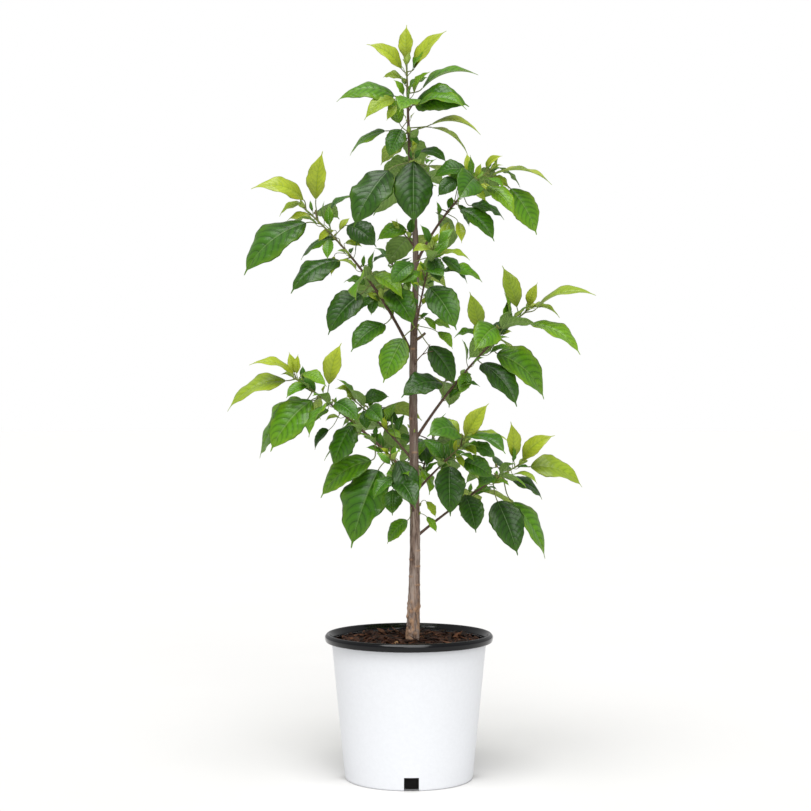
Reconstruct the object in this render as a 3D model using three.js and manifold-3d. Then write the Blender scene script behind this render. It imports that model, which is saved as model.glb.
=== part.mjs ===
// A young sugar apple tree, 1.25 m tall, in a white nursery pot with a black rim.
// Millimetres, +Z up. The origin is the centre of the pot's flat underside, and the front faces -Y.
//
// Every limb is an arc: it leaves the trunk at a height, heads one way, and flattens as it rises.
// Every mass of foliage grows on from its limb: one stem, leaves along it, and seeded side twigs.

import * as THREE from "three";
import { mergeVertices } from "three/addons/utils/BufferGeometryUtils.js";
import Module from "manifold-3d";

const wasm = await Module();
wasm.setup();

const GAP = 0.3; // clearance between neighbouring pieces

// Pot
const POT_SIDES = 40;
const POT_FOOT_RADIUS = 106;
const POT_WALL_TOP = 228.7;
const POT_WALL_TOP_RADIUS = 128.5;
const POT_WALL = 2;
const POT_FLOOR = 3;
const NOTCH_COUNT = 4; // drain notches, cut up from the foot of the wall
const NOTCH_WIDTH = 24;
const NOTCH_HEIGHT = 22;
const NOTCH_DEPTH = 9;
const NOTCH_TURN = 2; // degrees that they stand round from the axes
const RIM_TOP = 240;
const RIM_UNDERSIDE = POT_WALL_TOP + GAP;
const RIM_RADIUS = 140;
const RIM_MOUTH_RADIUS = 132;
const RIM_ROUND = 2.5;

// Soil, level where the trunk stands and lower at the wall
const SOIL_TOP = 224;
const SOIL_DROP = 4;
const SOIL_SHOULDER = 22;

// Trunk: its lean as [height, shift to the right, shift to the back], and its girth
const TRUNK_FOOT = SOIL_TOP + GAP;
const TRUNK_TOP = 1017;
const TRUNK_LINE = [
  [224, 5.8, 0],
  [300, 8.5, 2],
  [400, 10, 3],
  [500, 9, 1],
  [620, 7, -2],
  [730, 8, -3],
  [820, 11, -1],
  [900, 10.5, 2],
  [1017, 2.5, 2],
  [1100, -1.5, 0],
  [1190, -4, -2],
];
const TRUNK_FOOT_RADIUS = 9.8;
const TRUNK_TOP_RADIUS = 3.2;
const TRUNK_TAPER = 0.78; // under 1 keeps the lower trunk stout
const TRUNK_FLARE = 2.6; // added to the radius at the soil
const TRUNK_FLARE_HEIGHT = 60;
const TRUNK_SIDES = 10;
const TRUNK_RINGS = 22;

// Boughs, and the stems of the masses that they run into
const LIMB_TAPER = 0.56; // share of the radius lost from foot to tip
const LIMB_COLLAR = 1.3; // added to the radius where a limb leaves the trunk
const LIMB_COLLAR_LENGTH = 7;
const BOUGH_SIDES = 8;
const STEM_SIDES = 6;
const LIMB_RING_STEP = 34; // a ring about every so many millimetres
const LEADER_TIP = 1182;
const LEADER_TIP_RADIUS = 1.3;

// Twigs that branch off a stem by the seeded rule, in turn to the back and to the front
const TWIG_SEED = 500;
const TWIG_START = 0.08; // first place for a twig, past the foot of its stem
const TWIG_END = 0.95; // last place, as a share of the limb
const TWIG_SPREAD = 40; // degrees either side of straight back or front
const TWIG_LENGTH = [26, 46];
const TWIG_RISE = [5, 40]; // degrees above level
const TWIG_ARCH = 12;
const TWIG_RADIUS = 1.2;
const TWIG_TIP_RADIUS = 0.9;
const TWIG_SIDES = 3;
const TWIG_LEAF_SIDEWAYS = [-0.5, 0.7]; // a twig's two leaves part this far to its sides
const TWIG_LEAF_SAG = [0.3, 0.9];
const TWIG_LEAF_LENGTH = [48, 84];
const TWIG_LEAF_OUT = 0.8; // how far it turns its upper side away from the trunk
const TWIG_GROWN_SHARE = 0.3; // of the leaves on twigs; the others are old

// Leaves by age: width as a share of length
const LEAF_SEED = 100;
const WIDTH = { young: 0.43, grown: 0.5, old: 0.6 };
const OUTLINE_SKEW = 0.7; // under 1 puts the widest place nearer the foot
const OUTLINE_POWER = 1.1; // over 1 draws the two ends out
const LEAF_THICKNESS = 0.014; // of the length
const LEAF_SECTIONS = [-1, 0, 0.25, 0.65, 1]; // -1 is the foot of the stalk, 0 to 1 the blade
const STALK = 0.16; // length of a leaf's stalk as a share of the blade
const STALK_RADIUS = 0.95;
const STALK_LEAD = 0.6; // a stalk's direction is so much its blade's, and the rest its stem's
const SINK = 3; // how far from a stem's very end its last leaves are rooted
const DROOP = [20, 60]; // degrees of bend in an upright leaf, and what lying level adds
const FACE_FRONT = 0.95; // how far a leaf in the front view turns its upper side to the front
const FACE_OUT = 0.3; // how far it turns its upper side away from the trunk
const LEAF_ROLL = 12; // degrees of seeded roll either way
const LEAST_LEAF = 48; // blades under this length are too small to stand for here

// What keeps each mass to its own space
const ROOM = 0.07; // leaves of different masses keep this share of their two lengths apart
const LIMB_ROOM = 2.5; // and stay this far off every limb but their own stem
const TEST_ROWS = 9; // of points spread over a blade
const TEST_STEP = 12; // between points along a limb

const WELD = 1e-4; // corners closer than this are one

// Leaves along a stem are [place from the trunk (0) to the tip (1), direction in the front view in
// degrees (0 right, 90 up), degrees turned to the front, blade length]. Where the rule's own values
// don't fit, there follow the stalk's length, its direction, and in place of FACE_FRONT how far the
// blade turns its upper side to the front.
const SHOOTS = {
  leader: {
    twigs: 2,
    young: [
      [1, 90, 0, 60, 12],
      [0.94, 48, 10, 82, 13, 23],
      [0.92, 147, 12, 71, 12, 138],
      [0.62, 218, 20, 68, 24, 163, 1.6],
      [0.6, 238, 15, 33, 19, 180, 2],
      [0.38, 325, -15, 77, 40, 4, 0.5],
      [0.34, 346, 10, 85, 40, 17, 0.6],
    ],
    grown: [
      [0.84, 171, -25, 35, 12, 146],
      [0.78, 30, -20, 39, 5, 20],
      [0.72, 14, -5, 97, 27, 22, 0.4],
      [0.33, 110, -15, 52, 24, 132, 1.5],
    ],
    old: [
      [0.66, 186, 0, 97, 23, 163, 0.5],
      [0.58, 354, 15, 93, 14, 27, 2.5],
      [0.46, 247, 15, 56, 21, 235, 2],
      [0.32, 213, -15, 74, 42],
      [0.32, 298, 25, 28],
      [0.1, 332, 15, 49, 21, 24, 1.6],
    ],
  },
  upper_left: {
    foot: 698, heading: 162, reach: 193, rise: 253, arch: 24, girth: 6, bare: 0.2, twigs: 3,
    young: [
      [1, 170, 15, 92, 18, 104, 1.2],
      [0.99, 207, -20, 47, 15, 125],
      [0.92, 182, -20, 48, 6, 190, 1.5],
      [0.9, 81, 10, 82, 37, 96, 2],
      [0.78, 51, -15, 29, 16, 48, 1.5],
      [0.76, 215, -20, 37, 17, 101, 1.5],
      [0.68, 347, -15, 30, 13, 93, 1.5],
      [0.66, 261, -10, 34, 24, 191, 2],
    ],
    grown: [
      [0.76, 265, 20, 39, 11, 178, 2],
    ],
    old: [
      [0.88, 221, 5, 138, 25, 177],
      [0.8, 23, -20, 57, 48, 90, 0.3],
      [0.78, 321, 25, 70, 33, 36, 1.6],
      [0.72, 209, -25, 80, 15, 119, 0.5],
      [0.63, 216, 15, 103, 21, 195, 0.6],
      [0.56, 6, -20, 44, 28, 25, 0.5],
      [0.45, 232, 10, 89, 26, 225, 1.8],
      [0.4, 303, 25, 82, 23, 7, 1.6],
      [0.4, 254, -20, 36, 7, 266, 2],
      [0.34, 214, -25, 49, 14, 153],
      [0.24, 221, 20, 77, 20, 221],
    ],
  },
  upper_right: {
    foot: 852, heading: -18, reach: 127, rise: 151, arch: 30, girth: 5.4, bare: 0.36, twigs: 3,
    young: [
      [1, 32, 20, 32, 9, 108, 2],
      [0.9, 350, 5, 100, 20, 14, 0.1],
      [0.88, 69, 5, 23, 7, 120],
      [0.86, 98, -10, 38, 16, 132, 2],
      [0.8, 335, 25, 39],
      [0.78, 315, 25, 34, 7, 327, 2],
      [0.5, 279, 20, 40, 25, 321, 2.5],
      [0.46, 253, 15, 42, 12, 313, 2.5],
    ],
    grown: [
      [0.97, 325, -20, 34, 14, 330, 1.5],
      [0.93, 309, 20, 72, 20, 293, 1.2],
      [0.84, 208, -15, 37, 25, 118, 1.5],
    ],
    old: [
      [0.94, 300, -5, 88, 49, 334, 1.2],
      [0.8, 192, -5, 55, 28, 107],
      [0.7, 338, -15, 62, 23, 311, 0.3],
      [0.64, 315, 10, 79, 16, 288],
      [0.6, 224, 15, 45, 41, 85, 1.6],
      [0.6, 300, -25, 42],
    ],
  },
  middle_right: {
    foot: 557, heading: 12, reach: 193, rise: 219, arch: 18, girth: 5.6, bare: 0.24, twigs: 3,
    young: [
      [1, 69, 20, 43, 15, 62, 1.5],
      [1, 12, 10, 103, 21, 19, 0.45],
      [0.99, 342, -15, 56, 14, 42, 0.6],
      [0.95, 110, 5, 75, 17, 103, 2],
      [0.68, 106, 10, 65, 36, 107, 3],
    ],
    grown: [
      [0.92, 327, 15, 101, 26, 346, 0.6],
    ],
    old: [
      [0.74, 316, -10, 114, 21, 289],
      [0.74, 40, -25, 43, 11, 80, 1.6],
      [0.66, 190, -20, 41, 34, 111],
      [0.6, 308, 15, 96, 12, 320],
      [0.5, 250, 20, 40, 5, 330, 2],
      [0.3, 201, 25, 78, 30, 99],
    ],
  },
  lower_left: {
    foot: 493, heading: 194, reach: 202, rise: 170, arch: 12, girth: 5.6, bare: 0.19, twigs: 3,
    young: [
      [1, 169, 15, 76, 9, 113, 0.4],
      [0.98, 105, 0, 36, 12, 112, 3],
      [0.97, 85, 10, 33, 12, 105, 2],
      [0.75, 73, 5, 72, 28, 83, 2.5],
    ],
    grown: [
      [1, 208, 0, 109, 17, 189, 0.6],
      [0.97, 331, 15, 47, 14, 60],
      [0.92, 213, 25, 44, 4, 5],
    ],
    old: [
      [0.86, 231, -20, 130, 25, 230],
      [0.8, 232, 10, 109, 16, 201, 1.2],
      [0.75, 225, 25, 38, 14, 275],
      [0.64, 235, -20, 44, 38, 235],
      [0.52, 246, 10, 81, 5, 150, 1.6],
      [0.35, 217, -5, 106, 31, 257, 0.6],
      [0.22, 251, 12, 138, 31, 229, 1.2],
    ],
  },
  lower_right: {
    foot: 472, heading: -35, reach: 99, rise: 85, arch: 6, girth: 4.6, bare: 0.38, twigs: 2,
    young: [
      [0.95, 56, 10, 69, 14, 65, 2],
      [0.93, 324, 30, 31],
      [0.8, 79, 20, 25],
      [0.8, 297, 25, 30],
    ],
    grown: [
      [0.98, 318, 25, 27],
      [0.96, 351, 5, 66, 18, 50, 0.2],
      [0.9, 146, -10, 42, 23, 90, 1.6],
    ],
    old: [
      [0.95, 333, -15, 47, 15],
      [0.8, 332, 10, 56, 21, 315, 2],
      [0.62, 271, 15, 84, 11, 311],
      [0.6, 137, -15, 46],
      [0.55, 62, -30, 47],
    ],
  },
  lowest_right: {
    foot: 398, heading: 12, reach: 178, rise: 119, arch: 10, girth: 5, bare: 0.4, twigs: 3,
    young: [
      [1, 38, 15, 70, 15, 48, 2],
      [0.97, 95, 5, 64, 14, 98, 1.5],
      [0.93, 338, 20, 45, 9, 301, 0.6],
    ],
    grown: [
      [1, 338, -10, 98, 24],
      [0.76, 340, 25, 28],
    ],
    old: [
      [0.9, 327, -20, 66, 19, 300, 0.5],
      [0.85, 300, -5, 112, 50, 291, 0.7],
      [0.76, 290, 15, 98, 36, 283, 1.2],
      [0.46, 285, 25, 70, 15, 60, 2.5],
    ],
  },
  front_high: {
    foot: 985, heading: -88, reach: 50, rise: 45, arch: 10, girth: 3.6, twigs: 1,
    old: [
      [1, 270, 10, 108, 11, 278],
      [0.75, 240, 15, 116, 45, 203],
    ],
  },
  front_left: {
    foot: 880, heading: -145, reach: 32, rise: 28, arch: 10, girth: 3.4, twigs: 1,
    grown: [
      [0.8, 190, -20, 30],
    ],
    old: [
      [1, 202, 5, 52, 9, 20],
    ],
  },
  front_middle: {
    foot: 727, heading: -74, reach: 115, rise: 146, arch: 16, girth: 4.4, twigs: 3,
    grown: [
      [0.95, 190, -10, 30],
      [0.86, 348, 0, 50, 16, 25, 0.4],
      [0.62, 345, -10, 68, 33, 27, 0.5],
      [0.25, 339, -5, 32, 27, 335, 0.8],
      [0.2, 308, 5, 30, 14, 20, 1.2],
      [0.15, 311, 5, 38, 37, 342, 1.5],
    ],
    old: [
      [0.88, 226, 15, 52, 33, 201, 2],
      [0.85, 287, 20, 47, 4, 50, 2],
      [0.57, 301, 15, 86],
      [0.14, 246, 5, 81, 30, 224, 1.8],
      [0.14, 303, -5, 77, 40, 304, 1.6],
    ],
  },
  front_low: {
    foot: 436, heading: -112, reach: 110, rise: 99, arch: 10, girth: 4.2, twigs: 3,
    grown: [
      [0.05, 300, 0, 31, 27, 40, 1.2],
      [0.05, 302, 0, 31, 23, 339, 1.2],
    ],
    old: [
      [1, 289, 5, 72, 13, 345, 2.5],
      [0.35, 270, 44, 56, 34, 161],
      [0.14, 230, -10, 53, 25, 253, 0.6],
    ],
  },
  back_left: {
    foot: 524, heading: 148, reach: 120, rise: 103, arch: 12, girth: 4.6, bare: 0.26, twigs: 3,
    young: [
      [0.45, 120, 15, 28],
    ],
    grown: [
      [1, 165, 10, 36, 12, 90],
      [0.5, 325, 20, 30],
    ],
    old: [
      [0.9, 10, -10, 46, 8, 56, 1.6],
      [0.85, 280, 10, 34, 4, 270, 2],
      [0.75, 335, -10, 54],
      [0.35, 337, -10, 42],
    ],
  },
  back_high: {
    foot: 925, heading: 82, reach: 130, rise: 120, arch: 20, girth: 4.6, bare: 0.35, twigs: 5,
  },
  back_middle: {
    foot: 750, heading: 104, reach: 175, rise: 125, arch: 16, girth: 5, bare: 0.32, twigs: 6,
  },
  back_low: {
    foot: 452, heading: 80, reach: 190, rise: 110, arch: 14, girth: 5, bare: 0.3, twigs: 6,
  },
};

// Numbers and vectors

const radians = (degrees) => (degrees * Math.PI) / 180;
const mix = (low, high, share) => low + (high - low) * share;
const vector = (x, y, z) => new THREE.Vector3(x, y, z);
const UP = vector(0, 0, 1);
const FRONT = vector(0, -1, 0);

// The same seed always gives the same run of numbers from 0 to 1.
function seeded(seed) {
  let state = seed >>> 0;
  return () => {
    state = (Math.imul(state, 1664525) + 1013904223) >>> 0;
    return state / 2 ** 32;
  };
}

// a times its share plus b times its share, and so on, at length 1.
function blend(...pairs) {
  const sum = vector(0, 0, 0);
  for (const [direction, share] of pairs) {
    sum.addScaledVector(direction, share);
  }
  return sum.normalize();
}

// A direction from its angle in the front view and its turn to the front, in degrees.
function pointing(lean, front) {
  const level = Math.cos(radians(front));
  const forward = Math.sin(radians(front));
  return vector(level * Math.cos(radians(lean)), -forward, level * Math.sin(radians(lean)));
}

// Level, straight away from the trunk's upright through the origin.
function outward(point) {
  return vector(point.x, point.y, 0).normalize();
}

// The part of a direction that is square to an axis, at length 1.
function squareTo(axis, direction) {
  return direction.clone().addScaledVector(axis, -axis.dot(direction)).normalize();
}

// Limbs: each has point(t), tangent(t), radius(t), length and across, a level direction square to it.

// A smooth curve through the trunk line's rows, read at a height.
function trunkAxis(height) {
  const last = TRUNK_LINE.length - 1;
  let row = 0;
  while (row < last - 1 && TRUNK_LINE[row + 1][0] < height) {
    row += 1;
  }
  const below = TRUNK_LINE[Math.max(row - 1, 0)];
  const from = TRUNK_LINE[row];
  const to = TRUNK_LINE[row + 1];
  const above = TRUNK_LINE[Math.min(row + 2, last)];
  const span = to[0] - from[0];
  const s = (height - from[0]) / span;
  const shift = (k) => {
    const inSlope = ((to[k] - below[k]) / (to[0] - below[0])) * span;
    const outSlope = ((above[k] - from[k]) / (above[0] - from[0])) * span;
    const change = to[k] - from[k];
    const square = 3 * change - 2 * inSlope - outSlope;
    const cube = inSlope + outSlope - 2 * change;
    return from[k] + s * (inSlope + s * (square + s * cube));
  };
  return vector(shift(1), shift(2), height);
}

// A stretch of the trunk line, whose sections all lie level.
function upright(bottom, top, radiusAt) {
  return {
    length: top - bottom,
    across: vector(0, 1, 0),
    point: (t) => trunkAxis(mix(bottom, top, t)),
    tangent: () => UP.clone(),
    radius: radiusAt,
  };
}

// An arc that starts at a point, covers a level reach and a rise, and flattens by arch degrees.
function arc(start, heading, reach, rise, arch, radiusAt) {
  const turn = radians(arch);
  const first = Math.atan2(rise, reach) + turn / 2;
  const length = (Math.hypot(reach, rise) * (turn / 2)) / Math.sin(turn / 2);
  const out = vector(Math.cos(heading), Math.sin(heading), 0);
  return {
    length,
    across: vector(-Math.sin(heading), Math.cos(heading), 0),
    point: (t) => {
      const level = (length / turn) * (Math.sin(first) - Math.sin(first - turn * t));
      const climb = (length / turn) * (Math.cos(first - turn * t) - Math.cos(first));
      return start.clone().addScaledVector(out, level).addScaledVector(UP, climb);
    },
    tangent: (t) => blend([out, Math.cos(first - turn * t)], [UP, Math.sin(first - turn * t)]),
    radius: (t) => radiusAt(t, length),
  };
}

function trunkLimb() {
  return upright(TRUNK_FOOT, TRUNK_TOP, (t) => {
    const taper = mix(TRUNK_TOP_RADIUS, TRUNK_FOOT_RADIUS, (1 - t) ** TRUNK_TAPER);
    return taper + TRUNK_FLARE * Math.exp((-t * (TRUNK_TOP - TRUNK_FOOT)) / TRUNK_FLARE_HEIGHT);
  });
}

function shootLimb(name, shoot) {
  if (name === "leader") {
    return upright(TRUNK_TOP, LEADER_TIP, (t) => mix(TRUNK_TOP_RADIUS, LEADER_TIP_RADIUS, t));
  }
  const foot = trunkAxis(shoot.foot);
  return arc(foot, radians(shoot.heading), shoot.reach, shoot.rise, shoot.arch, (t, length) => {
    const collar = LIMB_COLLAR * Math.exp((-t * length) / LIMB_COLLAR_LENGTH);
    return (shoot.girth / 2) * (1 - LIMB_TAPER * t) + collar;
  });
}

// Leaves

// A blade on a stalk. way is the direction from the blade's foot to its tip, and facing is where
// its upper side looks, before the roll.
function makeLeaf(kind, root, stalkWay, stalk, way, length, facing, roll) {
  const face = squareTo(way, facing).applyAxisAngle(way, radians(roll));
  const level = 1 - way.z * way.z;
  return {
    kind,
    root,
    stalkWay,
    way,
    length,
    face,
    side: way.clone().cross(face).normalize(),
    halfWidth: (length * WIDTH[kind]) / 2,
    bend: radians(DROOP[0] + DROOP[1] * level),
    foot: root.clone().addScaledVector(stalkWay, stalk),
  };
}

// The middle of the blade at t from its foot (0) to its tip (1), and its upper side there.
function midrib(leaf, t) {
  const half = leaf.bend / 2;
  const angle = half - leaf.bend * t;
  const size = leaf.length / (2 * Math.sin(half));
  const point = leaf.foot.clone()
    .addScaledVector(leaf.way, size * (Math.sin(half) - Math.sin(angle)))
    .addScaledVector(leaf.face, size * (Math.cos(angle) - Math.cos(half)));
  const normal = blend([leaf.face, Math.cos(angle)], [leaf.way, -Math.sin(angle)]);
  return { point, normal };
}

// Half the blade's width at t, as a share of its greatest.
function outline(t) {
  return Math.max(Math.sin(Math.PI * t ** OUTLINE_SKEW), 0) ** OUTLINE_POWER;
}

// Points spread over the blade, to test what it comes near.
function spread(leaf) {
  const points = [];
  for (let k = 1; k <= TEST_ROWS; k += 1) {
    const { point } = midrib(leaf, k / TEST_ROWS);
    for (const across of [-1, -0.5, 0, 0.5, 1]) {
      const off = across * leaf.halfWidth * outline(k / TEST_ROWS);
      points.push(point.clone().addScaledVector(leaf.side, off));
    }
  }
  return points;
}

// The stretch of a limb from one share of its length to another, as points with a radius.
function stretch(limb, from, to) {
  const count = Math.max(3, Math.ceil(((to - from) * limb.length) / TEST_STEP));
  const points = [];
  for (let k = 0; k <= count; k += 1) {
    const t = mix(from, to, k / count);
    points.push({ point: limb.point(t), radius: limb.radius(t) });
  }
  return points;
}

const segment = new THREE.Line3();
const nearest = vector(0, 0, 0);

function clearOfLimb(points, limbPoints, room) {
  for (let k = 1; k < limbPoints.length; k += 1) {
    segment.set(limbPoints[k - 1].point, limbPoints[k].point);
    const radius = Math.max(limbPoints[k - 1].radius, limbPoints[k].radius) + room;
    for (const point of points) {
      segment.closestPointToPoint(point, true, nearest);
      if (nearest.distanceTo(point) < radius) {
        return false;
      }
    }
  }
  return true;
}

function clearOfLeaf(points, length, other) {
  const room = ROOM * (length + other.leaf.length);
  if (points[0].distanceTo(other.points[0]) > length + other.leaf.length + room) {
    return true;
  }
  return points.every((point) => other.points.every((near) => point.distanceTo(near) > room));
}

// True where the points keep off every limb and off the twigs and leaves of other masses.
function keepsClear(plant, mass, points, length) {
  if (mass.name !== "leader" && !clearOfLimb(points, plant.trunkPoints, LIMB_ROOM)) {
    return false;
  }
  return plant.masses.every((other) => {
    if (!clearOfLimb(points, other.boughPoints, LIMB_ROOM)) {
      return false;
    }
    return other === mass
      || (clearOfLimb(points, other.stemPoints, LIMB_ROOM)
        && other.twigs.every((twig) => clearOfLimb(points, stretch(twig, 0, 1), LIMB_ROOM))
        && other.leaves.every((near) => clearOfLeaf(points, length, near)));
  });
}

// Adds the leaf to its mass, unless it would leave the mass's own space.
function addLeaf(plant, mass, leaf) {
  const points = spread(leaf);
  if (keepsClear(plant, mass, points, leaf.length)) {
    mass.leaves.push({ leaf, points });
  }
}

// A leaf by one of its stem's rows.
function rowLeaf(mass, kind, row, random) {
  const [place, lean, front, length, stalk, stalkLean, toFront = FACE_FRONT] = row;
  const way = pointing(lean, front);
  const root = mass.limb.point(Math.min(place, 1 - SINK / mass.limb.length));
  const stalkWay = stalkLean === undefined
    ? blend([way, STALK_LEAD], [mass.limb.tangent(place), 1 - STALK_LEAD])
    : pointing(stalkLean, front);
  const facing = blend([UP, 1], [outward(root), FACE_OUT], [FRONT, toFront]);
  const roll = mix(-LEAF_ROLL, LEAF_ROLL, random());
  return makeLeaf(kind, root, stalkWay, stalk ?? length * STALK, way, length, facing, roll);
}

// The twig with this number on a mass's stem, and its leaves.
function sprout(mass, k, random) {
  const between = ([low, high]) => mix(low, high, random());
  const place = mix(mass.bare + TWIG_START, TWIG_END, (k + random()) / mass.shoot.twigs);
  const turn = (k % 2 === 0 ? 90 : -90) + between([-TWIG_SPREAD, TWIG_SPREAD]);
  const length = between(TWIG_LENGTH);
  const rise = radians(between(TWIG_RISE));
  const start = mass.limb.point(place);
  const reach = length * Math.cos(rise);
  const climb = length * Math.sin(rise);
  const radius = (t) => mix(TWIG_RADIUS, TWIG_TIP_RADIUS, t);
  const twig = arc(start, radians(turn), reach, climb, TWIG_ARCH, radius);
  const leaves = TWIG_LEAF_SIDEWAYS.map((sideways, n) => {
    const sag = between(TWIG_LEAF_SAG);
    const leafLength = between(TWIG_LEAF_LENGTH);
    const roll = mix(-LEAF_ROLL, LEAF_ROLL, random());
    const kind = random() < TWIG_GROWN_SHARE ? "grown" : "old";
    const along = twig.tangent(1);
    const way = blend([along, 0.6], [twig.across, sideways], [UP, -sag]);
    const stalkWay = blend([way, STALK_LEAD], [along, 1 - STALK_LEAD]);
    const root = twig.point(1 - ((1 + 2 * n) * SINK) / length);
    const facing = blend([UP, 1], [outward(root), TWIG_LEAF_OUT]);
    return makeLeaf(kind, root, stalkWay, leafLength * STALK, way, leafLength, facing, roll);
  });
  return { twig, leaves };
}

// The trunk, and every mass with its stem, twigs and leaves.
function growPlant() {
  const trunk = trunkLimb();
  const masses = Object.entries(SHOOTS).map(([name, shoot]) => {
    const limb = shootLimb(name, shoot);
    const bare = shoot.bare ?? 0;
    return {
      name,
      shoot,
      limb,
      bare,
      boughPoints: bare > 0 ? stretch(limb, 0, bare) : [],
      stemPoints: stretch(limb, bare, 1),
      twigs: [],
      leaves: [],
    };
  });
  const plant = { trunk, masses, trunkPoints: stretch(trunk, 0, 1) };

  masses.forEach((mass, number) => {
    const random = seeded(LEAF_SEED + number);
    for (const kind of ["young", "grown", "old"]) {
      for (const row of mass.shoot[kind] ?? []) {
        addLeaf(plant, mass, rowLeaf(mass, kind, row, random));
      }
    }
  });

  masses.forEach((mass, number) => {
    const random = seeded(TWIG_SEED + number);
    for (let k = 0; k < mass.shoot.twigs; k += 1) {
      const { twig, leaves } = sprout(mass, k, random);
      const points = stretch(twig, 0.4, 1).map((spot) => spot.point);
      if (keepsClear(plant, mass, points, twig.length)) {
        leaves.forEach((leaf) => addLeaf(plant, mass, leaf));
        mass.twigs.push(twig);
      }
    }
  });
  return plant;
}

// Solids

// A capped cylinder, or a cone where the far end is sharp, whose every vertex is moved to
// place(ring, angle, rim): rim is 0 at the middle of a cap and 1 on the skin.
function shapedTube(sides, rings, farRadius, place) {
  const first = Math.PI / sides;
  const geometry = new THREE.CylinderGeometry(farRadius, 1, rings, sides, rings, false, first);
  const spots = geometry.getAttribute("position");
  for (let k = 0; k < spots.count; k += 1) {
    const ring = Math.round(spots.getY(k) + rings / 2);
    const rim = Math.hypot(spots.getX(k), spots.getZ(k)) > WELD ? 1 : 0;
    const angle = Math.atan2(spots.getX(k), spots.getZ(k));
    const { x, y, z } = place(ring, angle, rim);
    spots.setXYZ(k, x, y, z);
  }
  return solidOf(geometry);
}

function solidOf(geometry) {
  const bare = geometry.clone();
  bare.deleteAttribute("normal");
  bare.deleteAttribute("uv");
  const merged = mergeVertices(bare, WELD);
  return new wasm.Manifold(new wasm.Mesh({
    numProp: 3,
    vertProperties: new Float32Array(merged.getAttribute("position").array),
    triVerts: new Uint32Array(merged.getIndex().array),
  }));
}

function geometryOf(solid) {
  const { vertProperties, triVerts } = solid.getMesh();
  const geometry = new THREE.BufferGeometry();
  geometry.setAttribute("position", new THREE.BufferAttribute(vertProperties, 3));
  geometry.setIndex(new THREE.BufferAttribute(triVerts, 1));
  return geometry;
}

function limbSolid(limb, from, to, sides, rings, grown = 0) {
  return shapedTube(sides, rings, 1, (ring, angle, rim) => {
    const t = mix(from, to, ring / rings);
    const tangent = limb.tangent(t);
    const third = limb.across.clone().cross(tangent).normalize();
    const radius = rim * (limb.radius(t) + grown);
    return limb.point(t)
      .addScaledVector(limb.across, radius * Math.sin(angle))
      .addScaledVector(third, radius * Math.cos(angle));
  });
}

function limbRings(limb, from, to) {
  return Math.max(1, Math.round(((to - from) * limb.length) / LIMB_RING_STEP));
}

// Where a leaf's section lies at t, its half width and depth, and which way it is turned. At the
// foot of the blade it halves the bend from the stalk to the blade.
function leafSection(leaf, t) {
  if (t > 0) {
    const { point, normal } = midrib(leaf, t);
    const depth = leaf.length * LEAF_THICKNESS;
    return { point, normal, side: leaf.side, width: leaf.halfWidth * outline(t), depth };
  }
  const along = t < 0 ? leaf.stalkWay : blend([leaf.stalkWay, 1], [leaf.way, 1]);
  const side = squareTo(along, leaf.side);
  const normal = side.clone().cross(along);
  const point = (t < 0 ? leaf.root : leaf.foot).clone();
  return { point, normal, side, width: STALK_RADIUS, depth: 2 * STALK_RADIUS };
}

// A blade of three-sided sections, flat above and keeled below, on a stalk that starts inside its
// stem.
function leafSolid(leaf) {
  return shapedTube(3, LEAF_SECTIONS.length - 1, 0, (ring, angle, rim) => {
    const { point, normal, side, width, depth } = leafSection(leaf, LEAF_SECTIONS[ring]);
    const across = Math.sign(Math.round(2 * Math.sin(angle)));
    return point
      .addScaledVector(side, rim * width * across)
      .addScaledVector(normal, across === 0 ? -rim * depth : 0);
  });
}

function lathe(profile) {
  const points = profile.map(([radius, height]) => new THREE.Vector2(radius, height));
  const geometry = new THREE.LatheGeometry(points, POT_SIDES);
  geometry.rotateX(Math.PI / 2);
  return solidOf(geometry);
}

// The outside of the wall at a height.
function wallRadius(height) {
  return mix(POT_FOOT_RADIUS, POT_WALL_TOP_RADIUS, height / POT_WALL_TOP);
}

function potSolid() {
  const shell = lathe([
    [0, 0],
    [POT_FOOT_RADIUS, 0],
    [POT_WALL_TOP_RADIUS, POT_WALL_TOP],
    [POT_WALL_TOP_RADIUS - POT_WALL, POT_WALL_TOP],
    [wallRadius(POT_FLOOR) - POT_WALL, POT_FLOOR],
    [0, POT_FLOOR],
  ]);
  let pot = shell;
  for (let k = 0; k < NOTCH_COUNT; k += 1) {
    const cutter = new THREE.BoxGeometry(2 * NOTCH_DEPTH, NOTCH_WIDTH, 2 * NOTCH_HEIGHT);
    cutter.translate(POT_FOOT_RADIUS, 0, 0);
    cutter.rotateZ(radians(NOTCH_TURN + (360 * k) / NOTCH_COUNT));
    pot = pot.subtract(solidOf(cutter));
  }
  return pot;
}

function rimSolid() {
  const inner = POT_WALL_TOP_RADIUS - POT_WALL;
  return lathe([
    [inner, RIM_UNDERSIDE],
    [RIM_RADIUS - RIM_ROUND / 2, RIM_UNDERSIDE],
    [RIM_RADIUS, RIM_UNDERSIDE + RIM_ROUND],
    [RIM_RADIUS, RIM_TOP - RIM_ROUND],
    [RIM_RADIUS - RIM_ROUND, RIM_TOP],
    [RIM_MOUTH_RADIUS + RIM_ROUND, RIM_TOP],
    [RIM_MOUTH_RADIUS, RIM_TOP - RIM_ROUND],
    [inner + RIM_ROUND / 2, RIM_UNDERSIDE + RIM_ROUND],
    [inner, RIM_UNDERSIDE],
  ]);
}

function soilSolid() {
  const inside = (height) => wallRadius(height) - POT_WALL - GAP;
  const floor = POT_FLOOR + GAP;
  const edge = SOIL_TOP - SOIL_DROP;
  return lathe([
    [0, floor],
    [inside(floor), floor],
    [inside(edge), edge],
    [inside(edge) - SOIL_SHOULDER, SOIL_TOP],
    [0, SOIL_TOP],
  ]);
}

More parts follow.
